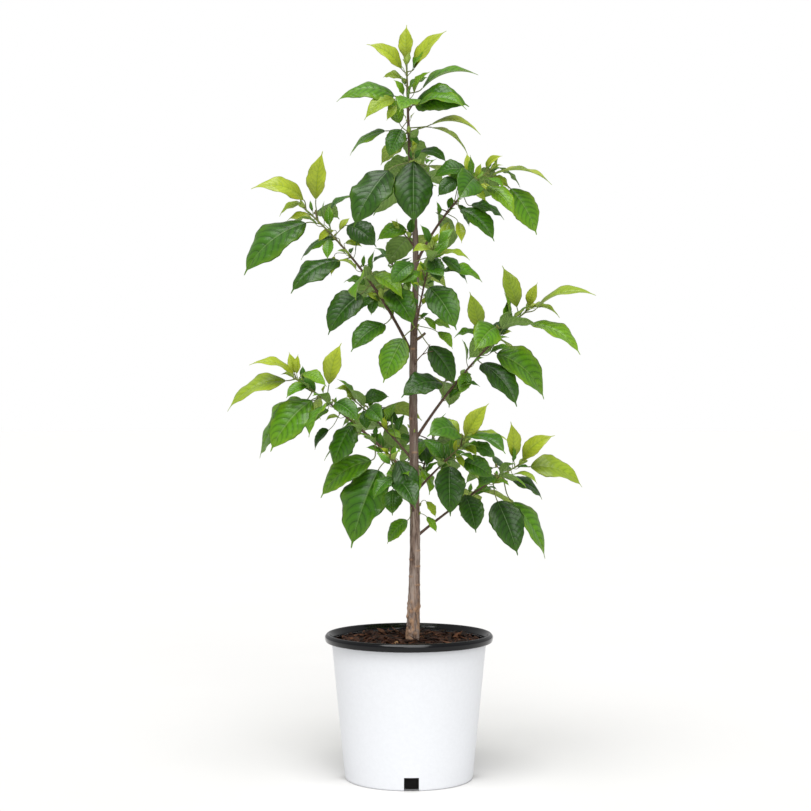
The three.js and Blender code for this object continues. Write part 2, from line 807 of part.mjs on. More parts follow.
// Keeps the largest body, should a cut leave a scrap.
function largest(solid) {
  const bodies = solid.decompose();
  return bodies.reduce((best, body) => (body.volume() > best.volume() ? body : best), bodies[0]);
}

// A mass starts just clear of its bough's or the trunk's tip, or else outside the trunk's sleeve.
function massSolid(mass, sleeve) {
  const { limb, bare, name } = mass;
  const from = name === "leader" || bare > 0 ? bare + GAP / limb.length : 0;
  let solid = limbSolid(limb, from, 1, STEM_SIDES, limbRings(limb, from, 1));
  for (const twig of mass.twigs) {
    solid = solid.add(limbSolid(twig, 0, 1, TWIG_SIDES, 1));
  }
  for (const { leaf } of mass.leaves) {
    if (leaf.length >= LEAST_LEAF) {
      solid = solid.add(leafSolid(leaf));
    }
  }
  return from > 0 ? solid : largest(solid.subtract(sleeve));
}

// The scene

const BARK = { color: "#6e5547", roughness: 0.85, metalness: 0 };
const TWIG_BARK = { color: "#5a4038", roughness: 0.8, metalness: 0 };
const FOLIAGE = { color: "#3f7a2b", roughness: 0.5, metalness: 0 };
const POT_WHITE = { color: "#eceff2", roughness: 0.45, metalness: 0 };
const RIM_BLACK = { color: "#141416", roughness: 0.3, metalness: 0 };
const EARTH = { color: "#35241b", roughness: 0.95, metalness: 0 };

function meshOf(name, solid, finish) {
  const mesh = new THREE.Mesh(geometryOf(solid), new THREE.MeshStandardMaterial(finish));
  mesh.name = name;
  return mesh;
}

const { trunk, masses } = growPlant();
const sleeve = limbSolid(trunk, 0, 1, TRUNK_SIDES, TRUNK_RINGS, GAP);

const tree = new THREE.Group();
tree.add(meshOf("trunk", limbSolid(trunk, 0, 1, TRUNK_SIDES, TRUNK_RINGS), BARK));
for (const mass of masses) {
  if (mass.bare > 0) {
    const rings = limbRings(mass.limb, 0, mass.bare) + 1;
    const bough = limbSolid(mass.limb, 0, mass.bare, BOUGH_SIDES, rings).subtract(sleeve);
    tree.add(meshOf(`bough_${mass.name}`, largest(bough), TWIG_BARK));
  }
  tree.add(meshOf(`foliage_${mass.name}`, massSolid(mass, sleeve), FOLIAGE));
}

const potted = new THREE.Group();
potted.add(meshOf("pot", potSolid(), POT_WHITE));
potted.add(meshOf("pot_rim", rimSolid(), RIM_BLACK));
potted.add(meshOf("soil", soilSolid(), EARTH));
potted.add(tree);

export default potted;
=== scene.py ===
# A young sugar apple tree, 1.25 m tall, in a white nursery pot with a black rim.
# Sizes are in millimetres until a piece is made. The plant grows by the same rule and seeds as its
# solids do, with whole blades, curved stalks, buds and small sprouts added.
import math
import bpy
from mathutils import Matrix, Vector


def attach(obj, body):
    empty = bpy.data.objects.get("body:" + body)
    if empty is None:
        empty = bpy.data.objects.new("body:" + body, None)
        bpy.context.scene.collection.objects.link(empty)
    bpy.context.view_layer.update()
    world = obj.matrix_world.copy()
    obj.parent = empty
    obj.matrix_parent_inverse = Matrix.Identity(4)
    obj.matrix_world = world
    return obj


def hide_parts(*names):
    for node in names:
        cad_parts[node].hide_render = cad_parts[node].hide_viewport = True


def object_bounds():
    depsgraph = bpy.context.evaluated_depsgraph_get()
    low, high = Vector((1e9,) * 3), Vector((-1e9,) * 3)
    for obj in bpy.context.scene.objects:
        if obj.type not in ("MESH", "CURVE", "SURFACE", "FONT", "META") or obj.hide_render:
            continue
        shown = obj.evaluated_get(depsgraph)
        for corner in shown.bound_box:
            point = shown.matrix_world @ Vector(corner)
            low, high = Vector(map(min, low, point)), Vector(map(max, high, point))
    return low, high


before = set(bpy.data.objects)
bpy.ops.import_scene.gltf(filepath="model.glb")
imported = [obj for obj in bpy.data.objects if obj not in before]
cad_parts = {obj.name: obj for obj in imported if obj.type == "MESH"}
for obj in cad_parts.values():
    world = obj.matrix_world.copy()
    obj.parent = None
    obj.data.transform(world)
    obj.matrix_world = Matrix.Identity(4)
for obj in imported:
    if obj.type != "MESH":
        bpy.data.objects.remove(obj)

from types import SimpleNamespace

import bpy
import numpy as np
from mathutils import Vector, noise

cad_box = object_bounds()

MM = 0.001
cad_corners = np.array(cad_box) / MM
BODY = "root"

# Camera: level, in front of the pot, as far off as the photograph's perspective needs
IMAGE_SIDE = 811
CAMERA_PLACE = (-5.8, -2850, 618)
CAMERA_FOCAL_PIXELS = 1714
SENSOR_WIDTH = 36

# Pot
POT_SIDES = 160
POT_FOOT_RADIUS = 106
POT_WALL_TOP = 228.7
POT_WALL_TOP_RADIUS = 128.5
POT_WALL = 2
POT_FLOOR = 3
NOTCH_COUNT = 4
NOTCH_WIDTH = 24
NOTCH_HEIGHT = 22
NOTCH_DEPTH = 9
NOTCH_TURN = 2  # degrees that they stand round from the axes
RIM_TOP = 240
RIM_UNDERSIDE = 229
RIM_RADIUS = 140
RIM_MOUTH_RADIUS = 132
RIM_ROUND = 3.6
SOIL_TOP = 224
SOIL_FLOOR = 3.3
SOIL_EDGE_DROP = 4
SOIL_SHOULDER = 22
WALL_CLEARANCE = 0.3

# Trunk: its lean as (height, shift to the right, shift to the back), and its girth
TRUNK_FOOT = 224.3
TRUNK_TOP = 1017
TRUNK_LINE = [
    (224, 5.8, 0),
    (300, 8.5, 2),
    (400, 10, 3),
    (500, 9, 1),
    (620, 7, -2),
    (730, 8, -3),
    (820, 11, -1),
    (900, 10.5, 2),
    (1017, 2.5, 2),
    (1100, -1.5, 0),
    (1190, -4, -2),
]
TRUNK_FOOT_RADIUS = 9.8
TRUNK_TOP_RADIUS = 3.2
TRUNK_TAPER = 0.78
TRUNK_FLARE = 2.6
TRUNK_FLARE_HEIGHT = 60

# Boughs, and the stems of the masses that they run into
LIMB_TAPER = 0.56
LIMB_COLLAR = 1.3
LIMB_COLLAR_LENGTH = 7
LEADER_TIP = 1182
LEADER_TIP_RADIUS = 1.3

# Twigs that branch off a stem by the seeded rule, in turn to the back and to the front
TWIG_SEED = 500
TWIG_START = 0.08
TWIG_END = 0.95
TWIG_SPREAD = (-40, 40)
TWIG_LENGTH = (26, 46)
TWIG_RISE = (5, 40)
TWIG_ARCH = 12
TWIG_RADIUS = 1.2
TWIG_TIP_RADIUS = 0.9
TWIG_FREE = 0.4  # share of a twig from which on it keeps clear of all else
TWIG_LEAF_ALONG = 0.6
TWIG_LEAF_SIDEWAYS = (-0.5, 0.7)
TWIG_LEAF_SAG = (0.3, 0.9)
TWIG_LEAF_LENGTH = (48, 84)
TWIG_LEAF_OUT = 0.8
TWIG_GROWN_SHARE = 0.3

# Leaves by age: width as a share of length
LEAF_SEED = 100
WIDTH = {"young": 0.43, "grown": 0.5, "old": 0.6, "sprout": 0.5}
OUTLINE_SKEW = 0.7
OUTLINE_POWER = 1.1
STALK = 0.16
STALK_LEAD = 0.6  # how far a stalk follows its blade's direction, and the rest its stem's
SINK = 3  # from the end of a stem to its last leaf
DROOP = (20, 60)  # degrees that an upright blade bends, and how many more a level one
FACE_FRONT = 0.95
FACE_OUT = 0.3
LEAF_ROLL = (-12, 12)

# What keeps each mass to its own space
ROOM = 0.07  # between two leaves, as a share of their lengths
LIMB_ROOM = 2.5
TEST_ROWS = 9
TEST_COLUMNS = 5
TEST_STEP = 12

# Small sprouts and buds, which are too fine for the solids
SPROUT_SEED = 900
SPROUT_STEP = 20  # of stem between one small sprout and the next
SPROUT_START = 0.12  # share of a stem without a bare bough that has none
SPROUT_LEAVES = 2
SPROUT_LENGTH = (12, 46)
SPROUT_FEW = 1.3  # over 1 makes the long ones fewer
SPROUT_STALK = 0.35
SPROUT_TURN = (70, 150)  # degrees round the stem from one leaf to the next
SPROUT_OUT = 0.8
SPROUT_ALONG = (0.2, 1)
SPROUT_RISE = 0.3
SPROUT_FACE_OUT = 0.5
SPROUT_FACE_FRONT = 0.6
TIP_LEAVES = 4  # unfolding at the end of every stem
TIP_LEAF_LENGTH = (14, 26)
TIP_LEAF_STALK = 5
TIP_LEAF_SPREAD = (0.15, 0.6)
TIP_LEAF_UP = 0.5
BUD_RADIUS = 1.5

# Each shoot leaves the trunk at the height foot and covers a level reach, in the direction heading,
# and a rise; bare is the share of it before its first leaf. Its leaves are (place from the trunk (0)
# to the tip (1), direction in the front view in degrees (0 right, 90 up), degrees turned to the
# front, blade length). Where the rule's own values don't fit, there follow the stalk's length, its
# direction, and in place of FACE_FRONT how far the blade turns its upper side to the front.
SHOOTS = {
    "leader": dict(
        twigs=2,
        young=[
            (1, 90, 0, 60, 12),
            (0.94, 48, 10, 82, 13, 23),
            (0.92, 147, 12, 71, 12, 138),
            (0.62, 218, 20, 68, 24, 163, 1.6),
            (0.6, 238, 15, 33, 19, 180, 2),
            (0.38, 325, -15, 77, 40, 4, 0.5),
            (0.34, 346, 10, 85, 40, 17, 0.6),
        ], grown=[
            (0.84, 171, -25, 35, 12, 146),
            (0.78, 30, -20, 39, 5, 20),
            (0.72, 14, -5, 97, 27, 22, 0.4),
            (0.33, 110, -15, 52, 24, 132, 1.5),
        ], old=[
            (0.66, 186, 0, 97, 23, 163, 0.5),
            (0.58, 354, 15, 93, 14, 27, 2.5),
            (0.46, 247, 15, 56, 21, 235, 2),
            (0.32, 213, -15, 74, 42),
            (0.32, 298, 25, 28),
            (0.1, 332, 15, 49, 21, 24, 1.6),
        ],
    ),
    "upper_left": dict(
        foot=698, heading=162, reach=193, rise=253, arch=24, girth=6, bare=0.2, twigs=3,
        young=[
            (1, 170, 15, 92, 18, 104, 1.2),
            (0.99, 207, -20, 47, 15, 125),
            (0.92, 182, -20, 48, 6, 190, 1.5),
            (0.9, 81, 10, 82, 37, 96, 2),
            (0.78, 51, -15, 29, 16, 48, 1.5),
            (0.76, 215, -20, 37, 17, 101, 1.5),
            (0.68, 347, -15, 30, 13, 93, 1.5),
            (0.66, 261, -10, 34, 24, 191, 2),
        ], grown=[
            (0.76, 265, 20, 39, 11, 178, 2),
        ], old=[
            (0.88, 221, 5, 138, 25, 177),
            (0.8, 23, -20, 57, 48, 90, 0.3),
            (0.78, 321, 25, 70, 33, 36, 1.6),
            (0.72, 209, -25, 80, 15, 119, 0.5),
            (0.63, 216, 15, 103, 21, 195, 0.6),
            (0.56, 6, -20, 44, 28, 25, 0.5),
            (0.45, 232, 10, 89, 26, 225, 1.8),
            (0.4, 303, 25, 82, 23, 7, 1.6),
            (0.4, 254, -20, 36, 7, 266, 2),
            (0.34, 214, -25, 49, 14, 153),
            (0.24, 221, 20, 77, 20, 221),
        ],
    ),
    "upper_right": dict(
        foot=852, heading=-18, reach=127, rise=151, arch=30, girth=5.4, bare=0.36, twigs=3,
        young=[
            (1, 32, 20, 32, 9, 108, 2),
            (0.9, 350, 5, 100, 20, 14, 0.1),
            (0.88, 69, 5, 23, 7, 120),
            (0.86, 98, -10, 38, 16, 132, 2),
            (0.8, 335, 25, 39),
            (0.78, 315, 25, 34, 7, 327, 2),
            (0.5, 279, 20, 40, 25, 321, 2.5),
            (0.46, 253, 15, 42, 12, 313, 2.5),
        ], grown=[
            (0.97, 325, -20, 34, 14, 330, 1.5),
            (0.93, 309, 20, 72, 20, 293, 1.2),
            (0.84, 208, -15, 37, 25, 118, 1.5),
        ], old=[
            (0.94, 300, -5, 88, 49, 334, 1.2),
            (0.8, 192, -5, 55, 28, 107),
            (0.7, 338, -15, 62, 23, 311, 0.3),
            (0.64, 315, 10, 79, 16, 288),
            (0.6, 224, 15, 45, 41, 85, 1.6),
            (0.6, 300, -25, 42),
        ],
    ),
    "middle_right": dict(
        foot=557, heading=12, reach=193, rise=219, arch=18, girth=5.6, bare=0.24, twigs=3,
        young=[
            (1, 69, 20, 43, 15, 62, 1.5),
            (1, 12, 10, 103, 21, 19, 0.45),
            (0.99, 342, -15, 56, 14, 42, 0.6),
            (0.95, 110, 5, 75, 17, 103, 2),
            (0.68, 106, 10, 65, 36, 107, 3),
        ], grown=[
            (0.92, 327, 15, 101, 26, 346, 0.6),
        ], old=[
            (0.74, 316, -10, 114, 21, 289),
            (0.74, 40, -25, 43, 11, 80, 1.6),
            (0.66, 190, -20, 41, 34, 111),
            (0.6, 308, 15, 96, 12, 320),
            (0.5, 250, 20, 40, 5, 330, 2),
            (0.3, 201, 25, 78, 30, 99),
        ],
    ),
    "lower_left": dict(
        foot=493, heading=194, reach=202, rise=170, arch=12, girth=5.6, bare=0.19, twigs=3,
        young=[
            (1, 169, 15, 76, 9, 113, 0.4),
            (0.98, 105, 0, 36, 12, 112, 3),
            (0.97, 85, 10, 33, 12, 105, 2),
            (0.75, 73, 5, 72, 28, 83, 2.5),
        ], grown=[
            (1, 208, 0, 109, 17, 189, 0.6),
            (0.97, 331, 15, 47, 14, 60),
            (0.92, 213, 25, 44, 4, 5),
        ], old=[
            (0.86, 231, -20, 130, 25, 230),
            (0.8, 232, 10, 109, 16, 201, 1.2),
            (0.75, 225, 25, 38, 14, 275),
            (0.64, 235, -20, 44, 38, 235),
            (0.52, 246, 10, 81, 5, 150, 1.6),
            (0.35, 217, -5, 106, 31, 257, 0.6),
            (0.22, 251, 12, 138, 31, 229, 1.2),
        ],
    ),
    "lower_right": dict(
        foot=472, heading=-35, reach=99, rise=85, arch=6, girth=4.6, bare=0.38, twigs=2,
        young=[
            (0.95, 56, 10, 69, 14, 65, 2),
            (0.93, 324, 30, 31),
            (0.8, 79, 20, 25),
            (0.8, 297, 25, 30),
        ], grown=[
            (0.98, 318, 25, 27),
            (0.96, 351, 5, 66, 18, 50, 0.2),
            (0.9, 146, -10, 42, 23, 90, 1.6),
        ], old=[
            (0.95, 333, -15, 47, 15),
            (0.8, 332, 10, 56, 21, 315, 2),
            (0.62, 271, 15, 84, 11, 311),
            (0.6, 137, -15, 46),
            (0.55, 62, -30, 47),
        ],
    ),
    "lowest_right": dict(
        foot=398, heading=12, reach=178, rise=119, arch=10, girth=5, bare=0.4, twigs=3,
        young=[
            (1, 38, 15, 70, 15, 48, 2),
            (0.97, 95, 5, 64, 14, 98, 1.5),
            (0.93, 338, 20, 45, 9, 301, 0.6),
        ], grown=[
            (1, 338, -10, 98, 24),
            (0.76, 340, 25, 28),
        ], old=[
            (0.9, 327, -20, 66, 19, 300, 0.5),
            (0.85, 300, -5, 112, 50, 291, 0.7),
            (0.76, 290, 15, 98, 36, 283, 1.2),
            (0.46, 285, 25, 70, 15, 60, 2.5),
        ],
    ),
    "front_high": dict(
        foot=985, heading=-88, reach=50, rise=45, arch=10, girth=3.6, twigs=1,
        old=[
            (1, 270, 10, 108, 11, 278),
            (0.75, 240, 15, 116, 45, 203),
        ],
    ),
    "front_left": dict(
        foot=880, heading=-145, reach=32, rise=28, arch=10, girth=3.4, twigs=1,
        grown=[
            (0.8, 190, -20, 30),
        ], old=[
            (1, 202, 5, 52, 9, 20),
        ],
    ),
    "front_middle": dict(
        foot=727, heading=-74, reach=115, rise=146, arch=16, girth=4.4, twigs=3,
        grown=[
            (0.95, 190, -10, 30),
            (0.86, 348, 0, 50, 16, 25, 0.4),
            (0.62, 345, -10, 68, 33, 27, 0.5),
            (0.25, 339, -5, 32, 27, 335, 0.8),
            (0.2, 308, 5, 30, 14, 20, 1.2),
            (0.15, 311, 5, 38, 37, 342, 1.5),
        ], old=[
            (0.88, 226, 15, 52, 33, 201, 2),
            (0.85, 287, 20, 47, 4, 50, 2),
            (0.57, 301, 15, 86),
            (0.14, 246, 5, 81, 30, 224, 1.8),
            (0.14, 303, -5, 77, 40, 304, 1.6),
        ],
    ),
    "front_low": dict(
        foot=436, heading=-112, reach=110, rise=99, arch=10, girth=4.2, twigs=3,
        grown=[
            (0.05, 300, 0, 31, 27, 40, 1.2),
            (0.05, 302, 0, 31, 23, 339, 1.2),
        ], old=[
            (1, 289, 5, 72, 13, 345, 2.5),
            (0.35, 270, 44, 56, 34, 161),
            (0.14, 230, -10, 53, 25, 253, 0.6),
        ],
    ),
    "back_left": dict(
        foot=524, heading=148, reach=120, rise=103, arch=12, girth=4.6, bare=0.26, twigs=3,
        young=[
            (0.45, 120, 15, 28),
        ], grown=[
            (1, 165, 10, 36, 12, 90),
            (0.5, 325, 20, 30),
        ], old=[
            (0.9, 10, -10, 46, 8, 56, 1.6),
            (0.85, 280, 10, 34, 4, 270, 2),
            (0.75, 335, -10, 54),
            (0.35, 337, -10, 42),
        ],
    ),
    "back_high": dict(
        foot=925, heading=82, reach=130, rise=120, arch=20, girth=4.6, bare=0.35, twigs=5,
    ),
    "back_middle": dict(
        foot=750, heading=104, reach=175, rise=125, arch=16, girth=5, bare=0.32, twigs=6,
    ),
    "back_low": dict(
        foot=452, heading=80, reach=190, rise=110, arch=14, girth=5, bare=0.3, twigs=6,
    ),
}

# Numbers and vectors


def mix(low, high, share):
    return low + (high - low) * share


def vector(x, y, z):
    return np.array((x, y, z), dtype=float)


UP = vector(0, 0, 1)
FRONT = vector(0, -1, 0)


def unit(direction):
    return direction / np.linalg.norm(direction)


def blend(*pairs):
    """Each direction times its share, added up, at length 1."""
    return unit(sum(direction * share for direction, share in pairs))


def pointing(lean, front):
    """A direction from its angle in the front view and its turn to the front, in degrees."""
    level = math.cos(math.radians(front))
    forward = math.sin(math.radians(front))
    return vector(level * math.cos(math.radians(lean)), -forward, level * math.sin(math.radians(lean)))


def outward(point):
    """Level, straight away from the trunk's upright through the origin."""
    return unit(vector(point[0], point[1], 0))


def square_to(axis, direction):
    """The part of a direction that is square to an axis, at length 1."""
    return unit(direction - axis * np.dot(axis, direction))


def turned(direction, axis, degrees):
    """A direction turned about an axis."""
    angle = math.radians(degrees)
    across = np.cross(axis, direction)
    along = axis * np.dot(axis, direction)
    return direction * math.cos(angle) + across * math.sin(angle) + along * (1 - math.cos(angle))


def seeded(seed):
    """The same seed always gives the same run of numbers from 0 to 1."""
    state = seed

    def draw():
        nonlocal state
        state = (state * 1664525 + 1013904223) % 2**32
        return state / 2**32

    return draw


def between(bounds, random):
    """A number drawn from between two bounds."""
    return mix(*bounds, random())


# Limbs: each has point(t), tangent(t), radius(t), length and across, a level direction square to it


def trunk_axis(height):
    """A smooth curve through the trunk line's rows, read at a height."""
    last = len(TRUNK_LINE) - 1
    row = 0
    while row < last - 1 and TRUNK_LINE[row + 1][0] < height:
        row += 1
    below = TRUNK_LINE[max(row - 1, 0)]
    start = TRUNK_LINE[row]
    end = TRUNK_LINE[row + 1]
    above = TRUNK_LINE[min(row + 2, last)]
    span = end[0] - start[0]
    s = (height - start[0]) / span

    def shift(k):
        in_slope = (end[k] - below[k]) / (end[0] - below[0]) * span
        out_slope = (above[k] - start[k]) / (above[0] - start[0]) * span
        change = end[k] - start[k]
        square = 3 * change - 2 * in_slope - out_slope
        cube = in_slope + out_slope - 2 * change
        return start[k] + s * (in_slope + s * (square + s * cube))

    return vector(shift(1), shift(2), height)


def upright(bottom, top, radius):
    """A stretch of the trunk line, whose sections all lie level."""
    return SimpleNamespace(
        length=top - bottom,
        across=vector(0, 1, 0),
        point=lambda t: trunk_axis(mix(bottom, top, t)),
        tangent=lambda t: UP,
        radius=radius,
    )


def arc(start, heading, reach, rise, arch, radius):
    """An arc that starts at a point, covers a level reach and a rise, and flattens by arch degrees."""
    turn = math.radians(arch)
    first = math.atan2(rise, reach) + turn / 2
    length = math.hypot(reach, rise) * (turn / 2) / math.sin(turn / 2)
    out = vector(math.cos(heading), math.sin(heading), 0)

    def point(t):
        level = length / turn * (math.sin(first) - math.sin(first - turn * t))
        climb = length / turn * (math.cos(first - turn * t) - math.cos(first))
        return start + out * level + UP * climb

    def tangent(t):
        return out * math.cos(first - turn * t) + UP * math.sin(first - turn * t)

    return SimpleNamespace(
        length=length,
        across=vector(-math.sin(heading), math.cos(heading), 0),
        point=point,
        tangent=tangent,
        radius=lambda t: radius(t, length),
    )


def trunk_limb():
    def radius(t):
        taper = mix(TRUNK_TOP_RADIUS, TRUNK_FOOT_RADIUS, (1 - t) ** TRUNK_TAPER)
        return taper + TRUNK_FLARE * math.exp(-t * (TRUNK_TOP - TRUNK_FOOT) / TRUNK_FLARE_HEIGHT)

    return upright(TRUNK_FOOT, TRUNK_TOP, radius)


def shoot_limb(name, shoot):
    if name == "leader":
        return upright(TRUNK_TOP, LEADER_TIP, lambda t: mix(TRUNK_TOP_RADIUS, LEADER_TIP_RADIUS, t))

    def radius(t, length):
        collar = LIMB_COLLAR * math.exp(-t * length / LIMB_COLLAR_LENGTH)
        return shoot["girth"] / 2 * (1 - LIMB_TAPER * t) + collar

    foot = trunk_axis(shoot["foot"])
    heading = math.radians(shoot["heading"])
    return arc(foot, heading, shoot["reach"], shoot["rise"], shoot["arch"], radius)


# Leaves


def make_leaf(kind, root, stalk_way, stalk, way, length, facing, roll):
    """A blade on a stalk. way is the direction from the blade's foot to its tip, and facing is where
    its upper side looks, before the roll."""
    face = turned(square_to(way, facing), way, roll)
    level = 1 - way[2] * way[2]
    return SimpleNamespace(
        kind=kind,
        root=root,
        stalk_way=stalk_way,
        way=way,
        length=length,
        face=face,
        side=unit(np.cross(way, face)),
        half_width=length * WIDTH[kind] / 2,
        bend=math.radians(DROOP[0] + DROOP[1] * level),
        foot=root + stalk_way * stalk,
    )


def midrib(leaf, t):
    """The middle of the blade at each t from its foot (0) to its tip (1), and its upper side there."""
    half = leaf.bend / 2
    angle = (half - leaf.bend * t)[:, None]
    size = leaf.length / (2 * math.sin(half))
    along = size * (math.sin(half) - np.sin(angle))
    up = size * (np.cos(angle) - math.cos(half))
    points = leaf.foot + leaf.way * along + leaf.face * up
    normals = leaf.face * np.cos(angle) - leaf.way * np.sin(angle)
    return points, normals


def outline(t):
    """Half the solid blade's width at t, as a share of its greatest."""
    return np.maximum(np.sin(math.pi * t**OUTLINE_SKEW), 0) ** OUTLINE_POWER


def spread(leaf):
    """Points spread over the blade, to test what it comes near."""
    t = np.arange(1, TEST_ROWS + 1) / TEST_ROWS
    middle, _ = midrib(leaf, t)
    off = np.linspace(-1, 1, TEST_COLUMNS)[None, :] * (leaf.half_width * outline(t))[:, None]
    return (middle[:, None, :] + leaf.side * off[:, :, None]).reshape(-1, 3)


def stretch(limb, start, end):
    """The stretch of a limb from one share of its length to another, as points with a radius."""
    count = max(3, math.ceil((end - start) * limb.length / TEST_STEP))
    shares = [mix(start, end, k / count) for k in range(count + 1)]
    points = np.array([limb.point(t) for t in shares])
    radii = np.array([limb.radius(t) for t in shares])
    return points, radii


def clear_of_limb(points, limb_points, room):
    spots, radii = limb_points
    start = spots[:-1]
    run = spots[1:] - start
    reach = np.maximum(radii[:-1], radii[1:]) + room
    off = points[:, None, :] - start
    share = np.clip((off * run).sum(2) / (run * run).sum(1), 0, 1)
    gap = np.linalg.norm(off - run * share[:, :, None], axis=2)
    return bool((gap >= reach).all())


def clear_of_leaf(points, length, other):
    room = ROOM * (length + other.leaf.length)
    if np.linalg.norm(points[0] - other.points[0]) > length + other.leaf.length + room:
        return True
    gaps = np.linalg.norm(points[:, None, :] - other.points, axis=2)
    return bool((gaps > room).all())


def keeps_clear(plant, mass, points, length):
    """True where the points keep off every limb and off the twigs and leaves of other masses."""
    if mass.name != "leader" and not clear_of_limb(points, plant.trunk_points, LIMB_ROOM):
        return False
    for other in plant.masses:
        if other.bare > 0 and not clear_of_limb(points, other.bough_points, LIMB_ROOM):
            return False
        if other is mass:
            continue
        if not clear_of_limb(points, other.stem_points, LIMB_ROOM):
            return False
        if not all(clear_of_limb(points, stretch(twig, 0, 1), LIMB_ROOM) for twig in other.twigs):
            return False
        if not all(clear_of_leaf(points, length, near) for near in other.leaves):
            return False
    return True


def add_leaf(plant, mass, leaf):
    """Adds the leaf to its mass, unless it would leave the mass's own space."""
    points = spread(leaf)
    if keeps_clear(plant, mass, points, leaf.length):
        mass.leaves.append(SimpleNamespace(leaf=leaf, points=points))


def row_leaf(mass, kind, row, random):
    """A leaf by one of its stem's rows."""
    full_row = row + (None, None, FACE_FRONT)[len(row) - 4:]
    place, lean, front, length, stalk, stalk_lean, to_front = full_row
    way = pointing(lean, front)
    root = mass.limb.point(min(place, 1 - SINK / mass.limb.length))
    if stalk_lean is None:
        stalk_way = blend((way, STALK_LEAD), (mass.limb.tangent(place), 1 - STALK_LEAD))
    else:
        stalk_way = pointing(stalk_lean, front)
    facing = blend((UP, 1), (outward(root), FACE_OUT), (FRONT, to_front))
    roll = between(LEAF_ROLL, random)
    stalk = length * STALK if stalk is None else stalk
    return make_leaf(kind, root, stalk_way, stalk, way, length, facing, roll)


def sprout_twig(mass, k, random):
    """The twig with this number on a mass's stem, and its leaves."""
    place = mix(mass.bare + TWIG_START, TWIG_END, (k + random()) / mass.shoot["twigs"])
    turn = (90 if k % 2 == 0 else -90) + between(TWIG_SPREAD, random)
    length = between(TWIG_LENGTH, random)
    rise = math.radians(between(TWIG_RISE, random))
    start = mass.limb.point(place)
    reach = length * math.cos(rise)
    climb = length * math.sin(rise)
    twig = arc(start, math.radians(turn), reach, climb, TWIG_ARCH,
               lambda t, _: mix(TWIG_RADIUS, TWIG_TIP_RADIUS, t))
    leaves = []
    for n, sideways in enumerate(TWIG_LEAF_SIDEWAYS):
        sag = between(TWIG_LEAF_SAG, random)
        leaf_length = between(TWIG_LEAF_LENGTH, random)
        roll = between(LEAF_ROLL, random)
        kind = "grown" if random() < TWIG_GROWN_SHARE else "old"
        along = twig.tangent(1)
        way = blend((along, TWIG_LEAF_ALONG), (twig.across, sideways), (UP, -sag))
        stalk_way = blend((way, STALK_LEAD), (along, 1 - STALK_LEAD))
        root = twig.point(1 - (1 + 2 * n) * SINK / length)
        facing = blend((UP, 1), (outward(root), TWIG_LEAF_OUT))
        leaves.append(make_leaf(kind, root, stalk_way, leaf_length * STALK, way, leaf_length, facing, roll))
    return twig, leaves


def grow_plant():
    """The trunk, and every mass with its stem, twigs and leaves."""
    trunk = trunk_limb()
    masses = []
    for name, shoot in SHOOTS.items():
        limb = shoot_limb(name, shoot)
        bare = shoot.get("bare", 0)
        masses.append(SimpleNamespace(
            name=name,
            shoot=shoot,
            limb=limb,
            bare=bare,
            bough_points=stretch(limb, 0, bare) if bare > 0 else None,
            stem_points=stretch(limb, bare, 1),
            twigs=[],
            leaves=[],
            sprouts=[],
        ))
    plant = SimpleNamespace(trunk=trunk, masses=masses, trunk_points=stretch(trunk, 0, 1))
    for number, mass in enumerate(masses):
        random = seeded(LEAF_SEED + number)
        for kind in ("young", "grown", "old"):
            for row in mass.shoot.get(kind, ()):
                add_leaf(plant, mass, row_leaf(mass, kind, row, random))
    for number, mass in enumerate(masses):
        random = seeded(TWIG_SEED + number)
        for k in range(mass.shoot["twigs"]):
            twig, leaves = sprout_twig(mass, k, random)
            if keeps_clear(plant, mass, stretch(twig, TWIG_FREE, 1)[0], twig.length):
                for leaf in leaves:
                    add_leaf(plant, mass, leaf)
                mass.twigs.append(twig)
    return plant


def add_sprouts(plant):
    """Small leaves in the axils along every stem, and unfolding at its end."""
    for number, mass in enumerate(plant.masses):
        random = seeded(SPROUT_SEED + number)
        limb = mass.limb
        bare_length = limb.length * max(mass.bare, SPROUT_START)
        for k in range(int((limb.length - bare_length) / SPROUT_STEP)):
            place = (bare_length + (k + random()) * SPROUT_STEP) / limb.length
            root = limb.point(place)
            along = limb.tangent(place)
            turn = 360 * random()
            for _ in range(SPROUT_LEAVES):
                length = mix(*SPROUT_LENGTH, random() ** SPROUT_FEW)
                turn += between(SPROUT_TURN, random)
                out = turned(limb.across, along, turn)
                way = blend((out, SPROUT_OUT), (along, between(SPROUT_ALONG, random)), (UP, SPROUT_RISE))
                facing = blend((UP, 1), (outward(root), SPROUT_FACE_OUT), (FRONT, SPROUT_FACE_FRONT))
                stalk = length * SPROUT_STALK + limb.radius(place)
                leaf = make_leaf("sprout", root, way, stalk, way, length, facing, 0)
                if keeps_clear(plant, mass, spread(leaf), length):
                    mass.sprouts.append(leaf)
        root = limb.point(1 - SINK / limb.length)
        along = limb.tangent(1)
        for k in range(TIP_LEAVES):
            length = between(TIP_LEAF_LENGTH, random)
            out = turned(limb.across, along, 360 * (k + random()) / TIP_LEAVES)
            way = blend((out, between(TIP_LEAF_SPREAD, random)), (along, 1))
            facing = blend((out, -1), (UP, TIP_LEAF_UP))
            mass.sprouts.append(make_leaf("young", root, way, TIP_LEAF_STALK, way, length, facing, 0))


# Meshes

UPRIGHT = 0.9  # how steep a path may start before another direction leads its rings


def placed(name, data):
    """A new object in the scene."""
    made = bpy.data.objects.new(name, data)
    bpy.context.collection.objects.link(made)
    return made


